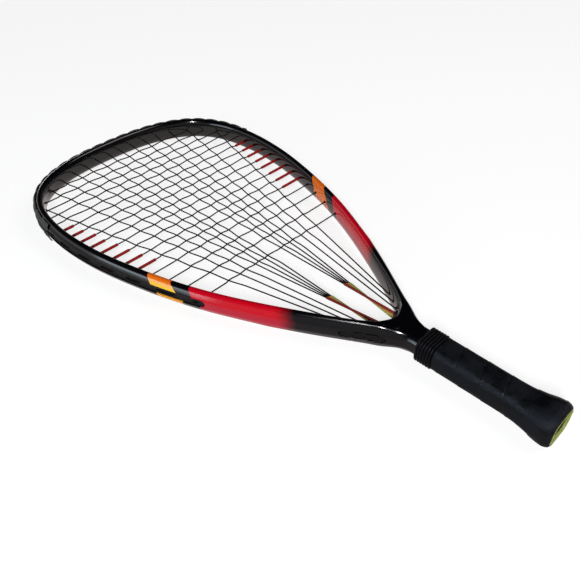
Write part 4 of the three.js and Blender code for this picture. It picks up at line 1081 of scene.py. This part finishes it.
cap_grid = [cap_outside, inlet_ring(552, 3.9), inlet_ring(551.6, 3.5), inlet_ring(549.6, 3.5)]
cap_grid += [shaft_rings(549.6, 23, 19.6), shaft_rings(528.8, 23, 19.6), cap_outside[:1]]
butt_cap = mesh_piece("butt_cap_moulded", [(np.concatenate(cap_grid), True)], 40)
lime, worn_lime = (0.33, 0.37, 0.09), (0.6, 0.64, 0.3)
cap_plastic = plastic("cap_plastic", lime, worn_lime, 0.42, mottle=0.25, wear=0.3, relief=0.08)
settle(butt_cap, "cap_plastic", cap_plastic, "butt_cap")

# --------------------------------------------
# Butt plug: a black moulded insert in the cap's recess, slightly dished, with the inlet for a
# wrist cord through its middle.
plug_rings = [(552.3, 25.2, 21.2), (556.2, 25.2, 21.2), (556.6, 24.9, 20.9), (556.8, 24.3, 20.3)]
plug_rings += [(556.7, 23, 19), (556.3, 22, 18), (556.2, 21.2, 17.2), (556.2, 18, 14)]
plug_outside = shaft_rings(*np.array(plug_rings).T)
inlet = [(556.1, 6), (556.5, 5), (556.6, 4.4), (556.4, 3.7), (555.9, 3.5), (552.3, 3.5)]
plug_grid = [plug_outside, *(inlet_ring(x, radius) for x, radius in inlet), plug_outside[:1]]
plug = mesh_piece("butt_plug_moulded", [(np.concatenate(plug_grid), True)], 40)
plug_plastic = plastic("plug_plastic", (0.01, 0.01, 0.012), (0.08, 0.08, 0.085), 0.5)
settle(plug, "plug_plastic", plug_plastic, "butt_plug")

# --------------------------------------------
# Camera, light and floor: the photograph's own viewpoint, a white floor and soft studio light,
# with lamps where the glints and the bright edges are.
camera = bpy.data.objects.new("camera", bpy.data.cameras.new("camera"))
camera.data.sensor_width = 36
camera.data.lens = 42.061
camera.data.clip_start = 0.01
camera.location = (0.339766, -0.351041, 0.412463)
camera.rotation_euler = np.radians((48.0989, -0.5398, 43.6775))
bpy.context.scene.collection.objects.link(camera)
bpy.context.scene.camera = camera
bpy.context.scene.view_settings.view_transform = "Standard"


def area_light(name, where, target, size, power, colour=(1, 1, 1)):
    """Rectangular lamp at a place, turned to a target, with its two sizes in metres."""
    lamp = bpy.data.lights.new(name, "AREA")
    lamp.shape, lamp.size, lamp.size_y, lamp.energy = "RECTANGLE", *size, power
    lamp.color = colour
    made = bpy.data.objects.new(name, lamp)
    made.location = where
    made.rotation_euler = (Vector(where) - Vector(target)).to_track_quat("Z", "Y").to_euler()
    bpy.context.scene.collection.objects.link(made)


area_light("key_light", (0.755, -1.018, 0.94), (0.1, 0, 0), (0.09, 0.3), 14)
area_light("fill_light", (0.95, 0.85, 1.6), (0, 0, 0), (1, 1), 10)
area_light("strip_light", (-0.4, -1.59, 0.3), (0, 0, 0.05), (1, 0.35), 4.8, (0.75, 0.9, 1))
area_light("tip_light", (-1.9, 0.4, 0.3), (-0.2, 0, 0.05), (0.5, 0.25), 3)

# The studio's walls: bright towards the horizon, dark overhead, dimmer behind the racket and beyond
# its handle, and plain white to the camera.
world = bpy.data.worlds.new("studio")
world.use_nodes = True
tree = world.node_tree
toward = node(tree, "SeparateXYZ", (), {0: node(tree, "TexCoord").outputs["Generated"]}).outputs
stops = [(0, (0.9, 0.9, 0.92)), (0.22, (0.8, 0.8, 0.84))]
stops += [(0.4, (0.03, 0.03, 0.04)), (1, (0.02, 0.02, 0.025))]
walls = ramp(tree, toward["Z"], stops)
behind = value_range(tree, toward["Y"], -0.1, 0.6, 1, 0.12)
beyond = value_range(tree, toward["X"], -0.45, 0.1, 1, 0.4)
dimmer = maths(tree, "MULTIPLY", behind, beyond)
seen = node(tree, "LightPath").outputs["Is Camera Ray"]
sky = tree.nodes["Background"].inputs
tree.links.new(mix(tree, seen, walls, (1, 1, 1, 1)), sky["Color"])
tree.links.new(maths(tree, "MAXIMUM", dimmer, seen), sky["Strength"])
bpy.context.scene.world = world

FLOOR_HALF, FLOOR_DROP = 3, -0.0005
floor_mesh = bpy.data.meshes.new("floor")
corners = [(x * FLOOR_HALF, y * FLOOR_HALF) for x, y in [(-1, -1), (1, -1), (1, 1), (-1, 1)]]
floor_mesh.from_pydata([(x, y, FLOOR_DROP) for x, y in corners], [], [(0, 1, 2, 3)])
floor = bpy.data.objects.new("floor", floor_mesh)
bpy.context.scene.collection.objects.link(floor)
paper, tree, principled, point = new_material("white_paper")
grain = noise(tree, point, 900, 3)
ray = node(tree, "LightPath").outputs
lit_share = maths(tree, "SUBTRACT", 1, maths(tree, "MULTIPLY", ray["Is Camera Ray"], 0.62))
lit_share = maths(tree, "SUBTRACT", lit_share, maths(tree, "MULTIPLY", ray["Is Glossy Ray"], 0.9))
glow = maths(tree, "MULTIPLY", ray["Is Camera Ray"], 0.79)
# To the racket's own reflections the paper glows, a painted reflection: bright under the hoop, and
# darker in front of it as a painted shadow of the racket.
spot = node(tree, "SeparateXYZ", (), {0: point}).outputs
narrowing = maths(tree, "MAXIMUM", maths(tree, "ADD", spot["X"], 0.03), 0)
inside_front = maths(tree, "MULTIPLY_ADD", narrowing, -0.69, spot["Y"])
painted_reflection_glow = value_range(tree, inside_front, -0.17, -0.08, 0.25, 0.75)
put(
    tree,
    principled,
    Base_Color=mix(tree, lit_share, (0, 0, 0, 1), (0.96, 0.96, 0.96, 1)),
    Roughness=0.9,
    Specular_IOR_Level=0,
    Emission_Color=mix(tree, ray["Is Glossy Ray"], (1, 1, 1, 1), (1, 0.9, 0.88, 1)),
    Emission_Strength=maths(tree, "MULTIPLY_ADD", ray["Is Glossy Ray"], painted_reflection_glow, glow),
    Normal=node(tree, "Bump", (), {"Strength": 0.02, "Height": grain}).outputs[0],
)
# From below the paper can be seen through.
clear = node(tree, "BsdfTransparent").outputs[0]
below = node(tree, "NewGeometry").outputs["Backfacing"]
sheet = node(tree, "MixShader", (), {0: below, 1: principled.outputs[0], 2: clear}).outputs[0]
tree.links.new(sheet, tree.nodes["Material Output"].inputs["Surface"])
floor_mesh.materials.append(paper)
